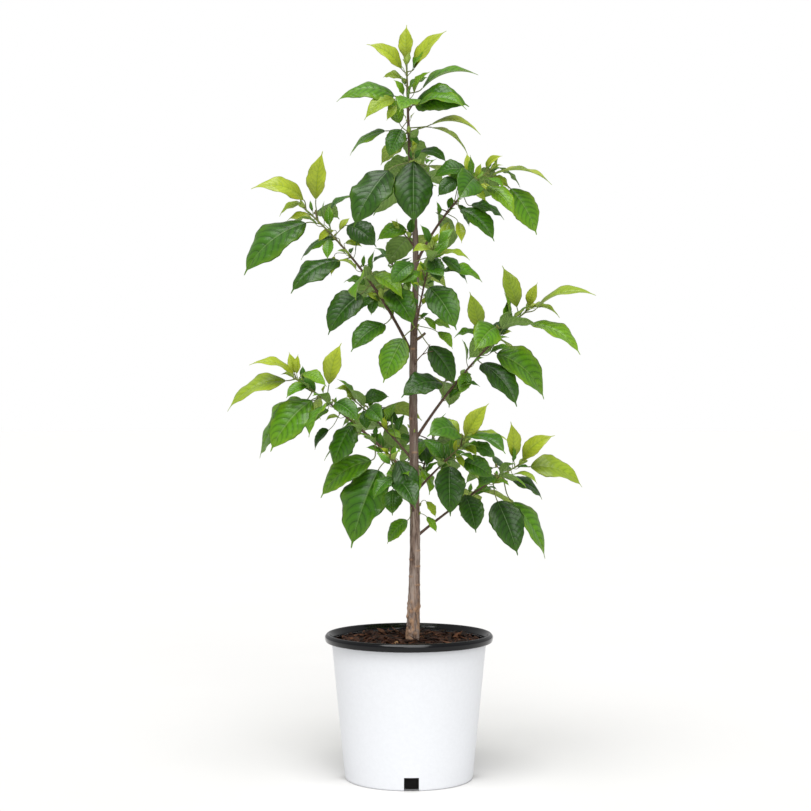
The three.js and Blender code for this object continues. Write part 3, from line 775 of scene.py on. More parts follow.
class Piece:
    """Gathers the points, faces, materials and texture coordinates of one piece."""

    def __init__(self):
        self.points = []
        self.faces = []
        self.slots = []
        self.maps = {}
        self.count = 0

    def add(self, points, faces, slot=0, maps=None):
        """maps gives, for each map's name, a pair for every corner of every face in turn."""
        self.points.append(np.asarray(points, dtype=float))
        self.faces += [tuple(corner + self.count for corner in face) for face in faces]
        self.slots += [slot] * len(faces) if isinstance(slot, int) else slot
        for name, pairs in (maps or {}).items():
            self.maps.setdefault(name, []).append(pairs)
        self.count += len(points)

    def make(self, name, materials, replaced, material_slot):
        """The object, in metres, on its body. replaced names the CAD nodes that it stands for."""
        mesh = bpy.data.meshes.new(name)
        mesh.from_pydata((np.concatenate(self.points) * MM).tolist(), [], self.faces)
        mesh.polygons.foreach_set("material_index", self.slots)
        mesh.polygons.foreach_set("use_smooth", [True] * len(self.faces))
        for map_name, pairs in self.maps.items():
            layer = mesh.uv_layers.new(name=map_name)
            layer.data.foreach_set("uv", np.concatenate(pairs).ravel())
        for material in materials:
            mesh.materials.append(material)
        mesh.update()
        piece = placed(name, mesh)
        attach(piece, BODY)
        if replaced:
            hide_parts(*replaced)
        return piece


def ring_angles(sides):
    return np.arange(sides) * 2 * math.pi / sides


def ring_faces(rows, sides):
    """Quads between rows of points, each row a closed ring."""
    faces = []
    for i in range(rows - 1):
        for j in range(sides):
            k = (j + 1) % sides
            faces.append((i * sides + j, i * sides + k, (i + 1) * sides + k, (i + 1) * sides + j))
    return faces


def tube(rows):
    """The points and faces of a tube through rings of points, with a cap at both ends."""
    count, sides, _ = rows.shape
    faces = ring_faces(count, sides)
    faces.append(tuple(reversed(range(sides))))
    faces.append(tuple(range((count - 1) * sides, count * sides)))
    return rows.reshape(-1, 3), faces


def swept(path, radii, sides):
    """A tube round a path."""
    tangents = np.gradient(path, axis=0)
    tangents /= np.linalg.norm(tangents, axis=1)[:, None]
    lead = UP if abs(tangents[0][2]) < UPRIGHT else vector(1, 0, 0)
    angles = ring_angles(sides)
    rows = []
    for point, tangent, radius in zip(path, tangents, radii):
        lead = square_to(tangent, lead)
        second = np.cross(tangent, lead)
        ring = np.cos(angles)[:, None] * lead + np.sin(angles)[:, None] * second
        rows.append(point + ring * radius)
    return tube(np.array(rows))


# Leaf blades

BLADE_ROWS = 42
BLADE_COLUMNS = (0, 0.05, 0.14, 0.32, 0.52, 0.72, 0.9, 1)
SMALL_BLADE = 30  # blades under this length take the smaller mesh
SMALL_BLADE_ROWS = 16
SMALL_BLADE_COLUMNS = (0, 0.1, 0.4, 0.75, 1)
END_ROWS = 0.4  # how much closer together the rows stand at the foot and the tip
BLADE_THICKNESS = 0.45
THICK_FROM = 60  # the blade length from which it has all that thickness
RIB_SWELL = 2.2  # how much thicker the midrib is below, as a share
RIB_SPREAD = 0.07
DRIP_START = 0.92  # share of the blade before its narrow tip
DRIP_WIDTH = 0.13
DRIP_POWER = 0.35
DRIP_FULL = 0.5
SIDE_VEINS = 9
VEIN_SWEEP = 0.27  # how far a side vein runs on towards the tip, as a share of the blade
VEIN_ARCH = 1.8  # over 1 lets it leave the midrib more squarely
VEIN_DEPTH = 0.03  # of the blade's half width
GROOVE_DEPTH = 0.05  # of the groove over the midrib, as a share of the half width there
GROOVE_SPREAD = 0.06
TEETH = 0.8  # to each side vein
BOW = 0.075  # how far a blade's middle lies above the line from its foot to its tip, as a share
BOW_VARIES = (-0.02, 0.02)
WAVES = (1.6, 3)  # along each margin
WAVE_POWER = 2.5  # over 1 keeps the waves to the margin
TWIST = (-0.35, 0.35)


def blade_width(t, skew, power):
    """Half the blade's width as a share of its greatest, with a drip tip. A higher skew puts the
    widest place nearer the middle, and a higher power draws the two ends out."""
    body = np.sin(math.pi * np.minimum(t / DRIP_START, 1) ** skew) ** power
    drip = DRIP_WIDTH * np.maximum(1 - t, 0) ** DRIP_POWER * np.minimum(t / DRIP_FULL, 1)
    return np.hypot(body, drip)


# Each kind's outline, how far its two halves fold up and curl down, how wavy it lies, and how rough
# its margin is
FORM_PARTS = ("skew", "power", "fold", "curl", "wave", "tooth")
FORM = {
    "young": ((0.8, 1), 1, (0.15, 0.45), (0.05, 0.2), (0.06, 0.16), 0.02),
    "grown": ((0.78, 0.96), 0.85, (0.15, 0.5), (0.1, 0.35), (0.07, 0.18), 0.028),
    "old": ((0.76, 0.95), 0.74, (0.12, 0.5), (0.12, 0.4), (0.05, 0.15), 0.026),
    "sprout": ((0.78, 0.95), 0.95, (0.2, 0.6), (0, 0.3), (0.05, 0.15), 0.02),
}


def blade_rows(leaf, random, rows, columns):
    """Rows of points over the blade's upper side, which way that side looks at each row, and the
    places across (-1 to 1) and along (0 to 1) that they stand at."""
    form = dict(zip(FORM_PARTS, FORM[leaf.kind]))
    even = np.linspace(0, 1, rows + 1)[1:-1]
    t = mix(even, (1 - np.cos(math.pi * even)) / 2, END_ROWS)
    u = np.array([-c for c in columns[:0:-1]] + list(columns))
    middle, normals = midrib(leaf, t)
    skew, fold, curl, wave = [between(form[part], random) for part in ("skew", "fold", "curl", "wave")]
    phases = 2 * math.pi * np.array([random(), random()])
    waves = between(WAVES, random)
    bow = BOW * leaf.side[2] + between(BOW_VARIES, random)
    twist = between(TWIST, random)
    phase = np.where(u < 0, phases[0], phases[1])
    across = np.abs(u)
    along = t[:, None]
    width = leaf.half_width * blade_width(t, skew, form["power"])[:, None]
    width = width * (1 + form["tooth"] * np.sin(2 * math.pi * SIDE_VEINS * TEETH * along + phase))
    veins = np.cos(2 * math.pi * SIDE_VEINS * (along - VEIN_SWEEP * across**VEIN_ARCH))
    veins = veins * across**0.5 * (1 - across**4) * np.sin(math.pi * along)
    quilt = -VEIN_DEPTH * leaf.half_width * veins
    groove = -GROOVE_DEPTH * width * np.exp(-((across / GROOVE_SPREAD) ** 2))
    wavy = wave * width * across**WAVE_POWER * np.sin(2 * math.pi * waves * along + phase)
    height = fold * across * width - curl * across**2 * width + wavy + quilt + groove
    shift = width * u + leaf.length * bow * 4 * along * (1 - along)
    turn = twist * (along - 0.5) * width * u
    points = (middle[:, None, :] + leaf.side * shift[:, :, None]
              + normals[:, None, :] * (height + turn)[:, :, None])
    return points, normals, u, t


# Each blade's cell of its piece's own map: the space round it, and the widths that its two sides take
CELL_EDGE = 0.02
CELL_HALF = 0.48
CELL_WIDTH = 0.46


def add_blade(piece, leaf, random, slots, cell):
    """A closed thin blade. slots are the materials of its upper side and underside, and cell is
    (column, row, cells to a side) in the piece's own map."""
    small = leaf.length < SMALL_BLADE
    rows = SMALL_BLADE_ROWS if small else BLADE_ROWS
    columns = SMALL_BLADE_COLUMNS if small else BLADE_COLUMNS
    top, normals, u, t = blade_rows(leaf, random, rows, columns)
    count, across = top.shape[:2]
    thin = BLADE_THICKNESS * min(1, leaf.length / THICK_FROM)
    rib = RIB_SWELL * np.exp(-((u / RIB_SPREAD) ** 2))[None, :] * (1 - t[:, None]) ** 0.5
    below = top - normals[:, None, :] * (thin * (1 + rib))[:, :, None]
    spine, _ = midrib(leaf, np.array([0.0, t[-1], 1.0]))
    tip = top[-1, across // 2] + (spine[2] - spine[1])
    points = np.concatenate([spine[:1], tip[None], top.reshape(-1, 3), below[:, 1:-1].reshape(-1, 3)])
    points = np.clip(points, *cad_corners)

    def upper(i, j):
        return 2 + i * across + j

    def lower(i, j):
        if j in (0, across - 1):
            return upper(i, j)
        return 2 + count * across + i * (across - 2) + j - 1

    faces = []
    spots = []
    for side, at in ((0, upper), (1, lower)):
        def corner(i, j):
            return at(i, j), u[j], t[i]

        for j in range(across - 1):
            centre = (u[j] + u[j + 1]) / 2
            loops = [[(0, centre, 0), corner(0, j + 1), corner(0, j)],
                     [corner(count - 1, j), corner(count - 1, j + 1), (1, centre, 1)]]
            loops += [[corner(i, j), corner(i, j + 1), corner(i + 1, j + 1), corner(i + 1, j)]
                      for i in range(count - 1)]
            for loop in loops:
                for last in range(2, len(loop)):
                    corners = [loop[0], loop[last - 1], loop[last]]
                    corners = corners if side == 0 else corners[::-1]
                    faces.append(tuple(number for number, _, _ in corners))
                    spots += [(x, y, side) for _, x, y in corners]
    x, y, side = np.array(spots).T
    x = (x + 1) / 2
    column, row, cells = cell
    blade_map = np.stack([x, y], axis=1)
    own_map = np.stack([column + CELL_EDGE + CELL_HALF * side + CELL_WIDTH * x,
                        row + CELL_EDGE + (1 - 2 * CELL_EDGE) * y], axis=1) / cells
    half = len(faces) // 2
    piece.add(points, faces, [slots[0]] * half + [slots[1]] * half, {"blade": blade_map, "OFBake": own_map})


# Materials. The shares in them say how much of a colour shows, from 0 to 1, and a pair of them where
# a mark starts and where it is full.


def paint(code):
    """A colour from its red, green and blue in two hexadecimal digits each."""
    shares = [int(code[k:k + 2], 16) / 255 for k in (1, 3, 5)]
    linear = [c / 12.92 if c <= 0.04045 else ((c + 0.055) / 1.055) ** 2.4 for c in shares]
    return (*linear, 1)


def shaded(colour, factor):
    return (*[min(c * factor, 1) for c in colour[:3]], 1)


class Value:
    """What a material works out at every point, so that its sums can be written as sums."""

    def __init__(self, finish, socket):
        self.finish = finish
        self.socket = socket

    def __add__(self, other):
        return self.finish.math("ADD", self, other)

    def __sub__(self, other):
        return self.finish.math("SUBTRACT", self, other)

    def __mul__(self, other):
        return self.finish.math("MULTIPLY", self, other)

    def __pow__(self, other):
        return self.finish.math("POWER", self, other)

    def __abs__(self):
        return self.finish.math("ABSOLUTE", self)


class Finish:
    """A procedural material, built up node by node."""

    def __init__(self, name, roughness, shine):
        self.material = bpy.data.materials.new(name)
        self.material.use_nodes = True
        self.tree = self.material.node_tree
        self.shader = self.tree.nodes["Principled BSDF"]
        self.put("Roughness", roughness)
        self.put("Specular IOR Level", shine)

    def put(self, key, value, node=None):
        """Gives a value to an input of a node, or else of the material."""
        socket = (node or self.shader).inputs[key]
        if isinstance(value, Value):
            self.tree.links.new(value.socket, socket)
        else:
            socket.default_value = value

    def node(self, kind, output, inputs, **settings):
        """What a new node gives at one of its outputs."""
        made = self.tree.nodes.new(kind)
        for key, setting in settings.items():
            setattr(made, key, setting)
        for key, value in inputs.items():
            self.put(key, value, made)
        return Value(self, made.outputs[output])

    def math(self, operation, *values, clamp=False):
        return self.node("ShaderNodeMath", 0, dict(enumerate(values)), operation=operation, use_clamp=clamp)

    def ramp(self, value, low, high):
        """0 under low, 1 over high, and smooth between; the other way round where low is over high."""
        rises = low <= high
        return self.node("ShaderNodeMapRange", "Result", {
            "Value": value, "From Min": min(low, high), "From Max": max(low, high),
            "To Min": 0 if rises else 1, "To Max": 1 if rises else 0}, interpolation_type="SMOOTHSTEP")

    def layers(self, colour, *coats):
        """A colour with others laid over it in turn, each by its share."""
        for share, over in coats:
            colour = self.node("ShaderNodeMix", 2, {0: share, 6: colour, 7: over}, data_type="RGBA")
        return colour

    def place(self, stretch=1):
        """The point in metres, with its height times stretch: under 1 makes marks taller than wide."""
        point = self.node("ShaderNodeTexCoord", "Object", {})
        return self.node("ShaderNodeMapping", "Vector", {"Vector": point, "Scale": (1, 1, stretch)})

    def map(self, name):
        return self.node("ShaderNodeUVMap", "UV", {}, uv_map=name)

    def part(self, axis, where):
        return self.node("ShaderNodeSeparateXYZ", axis, {"Vector": where})

    def noise(self, where, scale, detail=3, roughness=0.55):
        return self.node("ShaderNodeTexNoise", "Fac", {
            "Vector": where, "Scale": scale, "Detail": detail, "Roughness": roughness})

    def cells(self, where, scale):
        return self.node("ShaderNodeTexVoronoi", "Distance", {"Vector": where, "Scale": scale})

    def finished(self, colour, grain, low, high, relief, depth, strength=1):
        """The material with its colour, a roughness from low to high by the grain, and a relief
        whose real height is depth, in metres."""
        rough = self.node("ShaderNodeMapRange", "Result", {"Value": grain, "To Min": low, "To Max": high})
        bump = self.node("ShaderNodeBump", "Normal", {
            "Height": relief, "Distance": depth, "Strength": strength})
        self.put("Base Color", colour)
        self.put("Roughness", rough)
        self.put("Normal", bump)
        return self.material


# Each tint's blade, side veins, midrib and margin
YOUNG_TINTS = {
    "lime": ("#95a628", "#879f28", "#78922c", "#adb234"),
    "spring": ("#849c24", "#6e8c1c", "#93a848", "#a5b22a"),
}
GREEN_TINTS = {
    "fresh": ("#648e18", "#466f0e", "#8ba94e", "#93a81c"),
    "mid": ("#4c7c0e", "#264c06", "#809d50", "#8ba614"),
    "deep": ("#33600a", "#173804", "#6a8a46", "#6b8f14"),
    "dark": ("#234807", "#0e2603", "#56743c", "#517614"),
}
UNDER_TINTS = {
    "pale": ("#9db450", "#809c3c", "#b0c078", "#b0c24a"),
    "dull": ("#7b9a4c", "#638438", "#9db078", "#8aa842"),
}
TINTS = [*YOUNG_TINTS, *GREEN_TINTS, *UNDER_TINTS]
# Their roughness, and how strong the margin, the side veins and the painted highlight on the bulges are
BLADE_LOOKS = (
    ("leaf", YOUNG_TINTS, 0.29, 0.65, 0.55, 0.2),
    ("leaf", GREEN_TINTS, 0.29, 0.65, 0.55, 0.45),
    ("leaf_underside", UNDER_TINTS, 0.6, 0.3, 0.3, 0.45),
)
KIND_TINTS = {
    "young": ("lime", "lime", "spring"),
    "grown": ("fresh", "spring", "mid"),
    "old": ("mid", "deep", "dark", "deep"),
    "sprout": ("fresh", "mid", "spring", "mid", "deep"),
}
BARK_TINTS = ("#57463d", "#8e796d", "#c0b0a5", "#bf936c")
SHOOT_TINTS = ("#452e28", "#6b7b33")
# Heights in metres between which the marks of the trunk's old foot fade, and its upper part reddens
OLD_FOOT = (0.33, 0.26)
RED_TOP = (0.35, 0.6)
BARK_RELIEF = 0.0008
BARK_ROUGHNESS = (0.95, 0.7)  # of its dark and its light streaks
BARK_STREAKS = (0.36, 0.6)
BARK_BANDS = (0.45, 0.62)
BAND_SHARE = 0.55
BARK_PATCHES = (0.46, 0.6)
PATCH_SHARE = 0.6
BARK_CRACKS = (0.46, 0.38)
CRACK_SHARE = 0.6
CRACK_SHADE = 0.5
RED_SHARE = 0.55
BARK_PORES = (0.18, 0.08)
PORE_SHARE = 0.35
PORE_RELIEF = 0.4  # beside that of the streaks
SCAR_SHARE = 0.5
SHOOT_RELIEF = 0.0004
SHOOT_RELIEF_SHARE = 0.7
SHOOT_ROUGHNESS = (0.7, 0.5)
SHOOT_STREAKS = (0.35, 0.65)
STREAK_SHADE = 1.9
SHOOT_PORES = (0.2, 0.1)
PORE_SHADE = 3.5
SHOOT_GREEN = (0.6, 1.02)
GREEN_VARIES = 0.15
GREEN_MOST = 0.85
TONES = (0.3, 0.7)  # of a noise, between which it goes from one colour to the other
ROUGH_VARIES = 0.06
# Each grained material's name, colour, how far its tone varies, how fine its grain is, its
# roughness, the height of its relief in metres, and its shine
GRAINED = {
    "stalk": ("leaf_stalk", "#6b7436", 0.25, 300, 0.5, 0.0002, 0.5),
    "twig": ("twig_bark", "#5d4a35", 0.3, 500, 0.65, 0.0003, 0.5),
    "bud": ("bud", "#7d8a3a", 0.2, 700, 0.5, 0.0002, 0.5),
    "white": ("white_plastic", "#e6e8ec", 0.012, 160, 0.4, 0.0001, 0.5),
    "black": ("black_plastic", "#020306", 0.3, 240, 0.12, 0.00002, 0.34),
    # Painted shade: near-black for the soil's sides, where the drain notches look into the pot
    "notch_shade": ("notch_shade", "#0b0a0b", 0.3, 240, 0.6, 0.0001, 0.15),
    "earth": ("soil", "#180e08", 0.5, 320, 0.95, 0.0015, 0.2),
}
CHIP_TINTS = {"umber": "#21130b", "brown": "#3a2216", "tan": "#5e3c27", "straw": "#8a6a48"}
CHIP_GRAIN = (0.35, 380, 0.85, 0.0008, 0.3)
BLADE_SHINE = 0.36
BLADE_ROUGHER = 0.1
FOOT_SHADE = 0.62  # a blade's colour at its foot, as a share of its own
FOOT_FADE = (0.5, 0.02)
PATCH_SHADE = 1.25
BULGE_HIGHLIGHT_SHADE = 1.6  # painted highlight on the bulges between the side veins, as a share of the blade's colour
VEIN_LINE = (0.35, 0.5)  # how near a side vein its line starts, and is full
VEIN_FADE = (0.97, 0.6)  # towards the margin
# Where the painted highlight on the bulges between the side veins reaches, and where it fades towards the
# margin
BULGE_HIGHLIGHT_REACH = (0.3, 0)
BULGE_HIGHLIGHT_FADE = (0.95, 0.5)
RIB_LINE = (0.045, 0.015)
RIB_SHARE = 0.6
MARGIN_POWER = 4  # higher makes the margin narrower
MARGIN_PATCHES = (0.35, 0.6)  # it shows in patches only
TIP_POWER = 6
VEIN_RELIEF = 0.0004
VEIN_RELIEF_SHARE = 0.4
VEIN_GRAIN = 0.08


def blade_finish(name, codes, roughness, edge_share, vein_share, highlight_share):
    """A blade that is darker at its foot, with a midrib, arched side veins, a painted highlight on the
    bulges between them and a paler margin, which three shares make stronger or fainter."""
    base, vein, rib, edge = [paint(code) for code in codes]
    finish = Finish(name, roughness, shine=BLADE_SHINE)
    spot = finish.map("blade")
    across = abs(finish.part("X", spot) * 2 - 1)
    along = finish.part("Y", spot)
    phase = (along - across**VEIN_ARCH * VEIN_SWEEP) * SIDE_VEINS
    from_line = abs(finish.math("FRACT", phase) - 0.5)
    line = finish.ramp(from_line, *VEIN_LINE) * finish.ramp(across, *VEIN_FADE)
    # Painted highlight: the bulges between the side veins are made lighter, as where they catch the light
    bulge_highlight = finish.ramp(from_line, *BULGE_HIGHLIGHT_REACH) * finish.ramp(across, *BULGE_HIGHLIGHT_FADE)
    patch = finish.noise(finish.place(), scale=40)
    fine = finish.noise(finish.place(), scale=900, detail=2)
    margin = across**MARGIN_POWER * edge_share * finish.ramp(patch, *MARGIN_PATCHES)
    margin = finish.math("MAXIMUM", margin, along**TIP_POWER * edge_share, clamp=True)
    colour = finish.layers(
        base,
        (finish.ramp(patch, *TONES), shaded(base, PATCH_SHADE)),
        (finish.ramp(along, *FOOT_FADE), shaded(base, FOOT_SHADE)),
        (bulge_highlight * highlight_share, shaded(base, BULGE_HIGHLIGHT_SHADE)),
        (margin, edge),
        (line * vein_share, vein),
        (finish.ramp(across, *RIB_LINE) * RIB_SHARE, rib),
    )
    relief = fine * VEIN_GRAIN - line
    return finish.finished(colour, patch, roughness - ROUGH_VARIES, roughness + BLADE_ROUGHER,
                           relief, VEIN_RELIEF, VEIN_RELIEF_SHARE)


def bark_finish(name, codes):
    """Grey-brown bark: streaks that run up the wood, small pores, tan scars, tan knots that are partly a
    painted highlight on their swellings, cracks at the foot and a redder upper trunk."""
    dark, middle, light, tan = [paint(code) for code in codes]
    finish = Finish(name, roughness=0.85, shine=0.3)
    streak = finish.noise(finish.place(stretch=0.1), scale=480, detail=5, roughness=0.65)
    broad = finish.noise(finish.place(stretch=0.12), scale=150)
    patch = finish.noise(finish.place(stretch=0.6), scale=110)
    crack = finish.noise(finish.place(stretch=0.5), scale=210)
    pores = finish.ramp(finish.cells(finish.place(stretch=0.6), scale=330), *BARK_PORES)
    height = finish.part("Z", finish.place())
    foot = finish.ramp(height, *OLD_FOOT)
    # Tan of the ring scars, and on the knots of the foot tan that is partly a painted highlight on their
    # swellings
    scar_tan_and_knot_highlight = finish.node("ShaderNodeVertexColor", "Color", {}, layer_name="scar_tan_and_knot_highlight")
    colour = finish.layers(
        dark,
        (finish.ramp(streak, *BARK_STREAKS), middle),
        (finish.ramp(broad, *BARK_BANDS) * BAND_SHARE, light),
        (foot * finish.ramp(patch, *BARK_PATCHES) * PATCH_SHARE, tan),
        (foot * finish.ramp(crack, *BARK_CRACKS) * CRACK_SHARE, shaded(dark, CRACK_SHADE)),
        (finish.ramp(height, *RED_TOP) * RED_SHARE, dark),
        (pores * PORE_SHARE, light),
        (scar_tan_and_knot_highlight * SCAR_SHARE, tan),
    )
    relief = streak + pores * PORE_RELIEF
    return finish.finished(colour, streak, *BARK_ROUGHNESS, relief, BARK_RELIEF)


def shoot_finish(name, codes):
    """Reddish-brown young bark with paler pores, which turns green towards the tip."""
    brown, green = [paint(code) for code in codes]
    finish = Finish(name, roughness=0.6, shine=0.4)
    along = finish.part("Y", finish.map("OFBake"))
    streak = finish.noise(finish.place(), scale=600, detail=4)
    pores = finish.ramp(finish.cells(finish.place(), scale=420), *SHOOT_PORES)
    greener = finish.ramp(along, *SHOOT_GREEN) + streak * GREEN_VARIES
    colour = finish.layers(
        brown,
        (finish.ramp(streak, *SHOOT_STREAKS), shaded(brown, STREAK_SHADE)),
        (pores * PORE_SHARE, shaded(brown, PORE_SHADE)),
        (finish.math("MULTIPLY", greener, GREEN_MOST, clamp=True), green),
    )
    return finish.finished(colour, streak, *SHOOT_ROUGHNESS, streak, SHOOT_RELIEF, SHOOT_RELIEF_SHARE)


def grain_finish(name, code, vary, scale, roughness, depth, shine):
    """One colour with a fine grain in its tone and relief."""
    base = paint(code)
    finish = Finish(name, roughness, shine)
    grain = finish.noise(finish.place(), scale, detail=4)
    colour = finish.layers(shaded(base, 1 - vary), (finish.ramp(grain, *TONES), shaded(base, 1 + vary)))
    return finish.finished(colour, grain, roughness - ROUGH_VARIES, roughness + ROUGH_VARIES, grain, depth)


def make_finishes():
    """Every material by its name."""
    finishes = {name: grain_finish(*values) for name, values in GRAINED.items()}
    for name, code in CHIP_TINTS.items():
        finishes[name] = grain_finish(f"bark_chip_{name}", code, *CHIP_GRAIN)
    finishes["bark"] = bark_finish("trunk_bark", BARK_TINTS)
    finishes["shoot"] = shoot_finish("shoot_bark", SHOOT_TINTS)
    for title, tints, *strengths in BLADE_LOOKS:
        for name, codes in tints.items():
            finishes[name] = blade_finish(f"{title}_{name}", codes, *strengths)
    return finishes


# The plant's pieces

LEAF_DETAIL_SEED = 1000


def make_leaves(mass, number, finishes):
    """All blades of one mass as one piece."""
    random = seeded(LEAF_DETAIL_SEED + number)
    leaves = [entry.leaf for entry in mass.leaves] + mass.sprouts
    piece = Piece()
    cells = math.ceil(math.sqrt(len(leaves)))
    for k, leaf in enumerate(leaves):
        tints = KIND_TINTS[leaf.kind]
        tint = tints[int(random() * len(tints))]
        under = "pale" if tint in ("lime", "spring", "fresh") else "dull"
        slots = (TINTS.index(tint), TINTS.index(under))
        add_blade(piece, leaf, random, slots, (k % cells, k // cells, cells))
    piece.make(f"leaves_{mass.name}", [finishes[name] for name in TINTS],
               [f"foliage_{mass.name}"], "foliage")


STALK_STEPS = 9
STALK_SIDES = 6
STALK_REACH = 0.4  # how far its two ends lead the curve between them, as a share
STALK_RADIUS = 0.45  # to which comes a share of the blade's length, up to the greatest
STALK_RADIUS_SHARE = 1 / 130
STALK_GREATEST = 1.15
STALK_TAPER = 0.75
STALK_END = 0.9  # where it widens again into the blade
TWIG_STEPS = 9
TWIG_SIDES = 8
BUD_STEPS = 7
BUD_SLENDER = 1.6
BUD_BLUNT = 1.6
BUD_POINT = 0.1
AXIL_OUT = 3.6
AXIL_UP = 1.4


def stalk_path(leaf):
    """A curve from inside the stem to the blade's foot, which arrives along the midrib."""
    half = leaf.bend / 2
    arrive = leaf.way * math.cos(half) + leaf.face * math.sin(half)
    reach = np.linalg.norm(leaf.foot - leaf.root) * STALK_REACH
    first = leaf.root + leaf.stalk_way * reach
    second = leaf.foot - arrive * reach
    t = np.linspace(0, 1, STALK_STEPS)[:, None]
    return ((1 - t) ** 3 * leaf.root + 3 * t * (1 - t) ** 2 * first
            + 3 * t**2 * (1 - t) * second + t**3 * leaf.foot)


def make_stalks(mass, finishes):
    """The twigs, leaf stalks and axil buds of one mass as one piece."""
    piece = Piece()
    for twig in mass.twigs:
        shares = np.linspace(0, 1, TWIG_STEPS)
        path = np.array([twig.point(t) for t in shares])
        piece.add(*swept(path, [twig.radius(t) for t in shares], TWIG_SIDES), slot=1)
    for leaf in [entry.leaf for entry in mass.leaves] + mass.sprouts:
        thick = min(STALK_GREATEST, STALK_RADIUS + leaf.length * STALK_RADIUS_SHARE)
        radii = thick * np.linspace(1, STALK_TAPER, STALK_STEPS)
        radii[-1] = thick * STALK_END
        piece.add(*swept(stalk_path(leaf), radii, STALK_SIDES))
        if leaf.kind in ("old", "grown"):
            place = leaf.root + leaf.stalk_way * AXIL_OUT + UP * AXIL_UP
            add_bud(piece, place, blend((leaf.stalk_way, 1), (UP, 1)), BUD_RADIUS, 2)
    piece.make(f"stalks_{mass.name}", [finishes["stalk"], finishes["twig"], finishes["bud"]],
               [f"foliage_{mass.name}"], "foliage")


def add_bud(piece, place, way, radius, slot):
    """A small pointed bud."""
    shares = np.linspace(-1, 1, BUD_STEPS)
    path = np.array([place + way * radius * BUD_SLENDER * s for s in shares])
    radii = [radius * max(math.sqrt(1 - abs(s) ** BUD_BLUNT), BUD_POINT) for s in shares]
    piece.add(*swept(path, radii, TWIG_SIDES), slot=slot)


MAP_WIDTH = 0.98


def bark_tube(rows):
    """A piece of one tube. Its own map runs round it and from its start (0) to its end (1), and is
    kept whole across the seam."""
    points, faces = tube(rows)
    count, sides = rows.shape[:2]
    i, j = np.divmod(np.arange((count - 1) * sides), sides)
    quads = np.stack([np.stack([j, j + 1, j + 1, j]), np.stack([i, i, i + 1, i + 1])]).T.reshape(-1, 2)
    caps = [(corner % sides, corner // sides) for cap in faces[-2:] for corner in cap]
    piece = Piece()
    own_map = np.concatenate([quads, caps]) * (MAP_WIDTH / sides, 1 / (count - 1))
    piece.add(points, faces, maps={"OFBake": own_map})
    return piece


LIMB_SIDES = 14
LIMB_STEP = 1.6
LIMB_SINK = 0.006  # how far the leader reaches down into the trunk, as a share of its length
LIMB_GIRTH = 0.96  # which leaves room for the bark's relief
JOINT_SWELL = 0.32
JOINT_REACH = 2.4
JOINT_MOST = 1.2
LIMB_ROUGHNESS = (0.35, 0.22)  # how close together its lumps stand, and their height


def make_limb(mass, finishes):
    """One bough with its stem, swollen a little at the distances from its foot at which its leaves stand."""
    limb = mass.limb
    joints = [np.linalg.norm(entry.leaf.root - limb.point(0)) for entry in mass.leaves]
    count = int(limb.length / LIMB_STEP)
    closeness, size = LIMB_ROUGHNESS
    rows = []
    for t in np.linspace(-LIMB_SINK if mass.name == "leader" else 0, 1, count):
        third = unit(np.cross(limb.across, limb.tangent(t)))
        from_foot = np.linalg.norm(limb.point(t) - limb.point(0))
        swell = sum(math.exp(-(((from_foot - joint) / JOINT_REACH) ** 2)) for joint in joints)
        radius = limb.radius(t) * LIMB_GIRTH + JOINT_SWELL * min(swell, JOINT_MOST)
        ring = []
        for angle in ring_angles(LIMB_SIDES):
            out = limb.across * math.sin(angle) + third * math.cos(angle)
            place = limb.point(t) + out * radius
            ring.append(place + out * noise.noise(Vector(place) * closeness) * size)
        rows.append(ring)
    replaced = [f"foliage_{mass.name}"] + ([f"bough_{mass.name}"] if mass.bare > 0 else [])
    bark_tube(np.array(rows)).make(f"limb_{mass.name}", [finishes["shoot"]], replaced, "twig_bark")


TRUNK_SIDES = 56
TRUNK_STEP = 1.3
TRUNK_GIRTH = 0.97  # which leaves room for the bark's relief
# Ring scars of fallen leaves as (height, face), and knots as (height, face, swelling); a face is an
# angle in radians from +X
TRUNK_SCARS = [(320, -0.8), (334, -2.6), (351, -0.8), (362, -2.7), (377, -0.8), (402, 2.3), (428, 1.2),
               (470, -2.4), (540, -1.3), (596, -2.6), (655, -0.8), (712, -1.9), (770, -1.2)]
TRUNK_KNOTS = [(292, -2, 1.2), (277, -2.1, 1.8), (280, -1.3, 1.5), (289, -3, 1.8), (281, 3.1, 1.6),
               (267, -2.9, 1.6), (284, -0.1, 1.6), (243, -2, 2), (240, -1.2, 1.6), (260, -1.8, 1.2),
               (252, 0.6, 1.7), (272, 1.6, 1.8), (246, 2.4, 1.6)]
SCAR_SWELL = 1.1
SCAR_HEIGHT = 1.4
SCAR_REACH = 0.95  # radians to each side
KNOT_SPREAD = 12
# How close together the bark's lumps stand round the trunk and up it, and their height
STREAKS = (5, 0.02, 0.35)
GNARLS = (2.2, 0.09, 1.8)
GNARL_FADE = 110  # the height over which the gnarls of the foot fade
GNARL_LEAST = 0.3


def lumps(out, height, round_trunk, up_trunk, size):
    return noise.noise(Vector((out[0] * round_trunk, out[1] * round_trunk, height * up_trunk))) * size


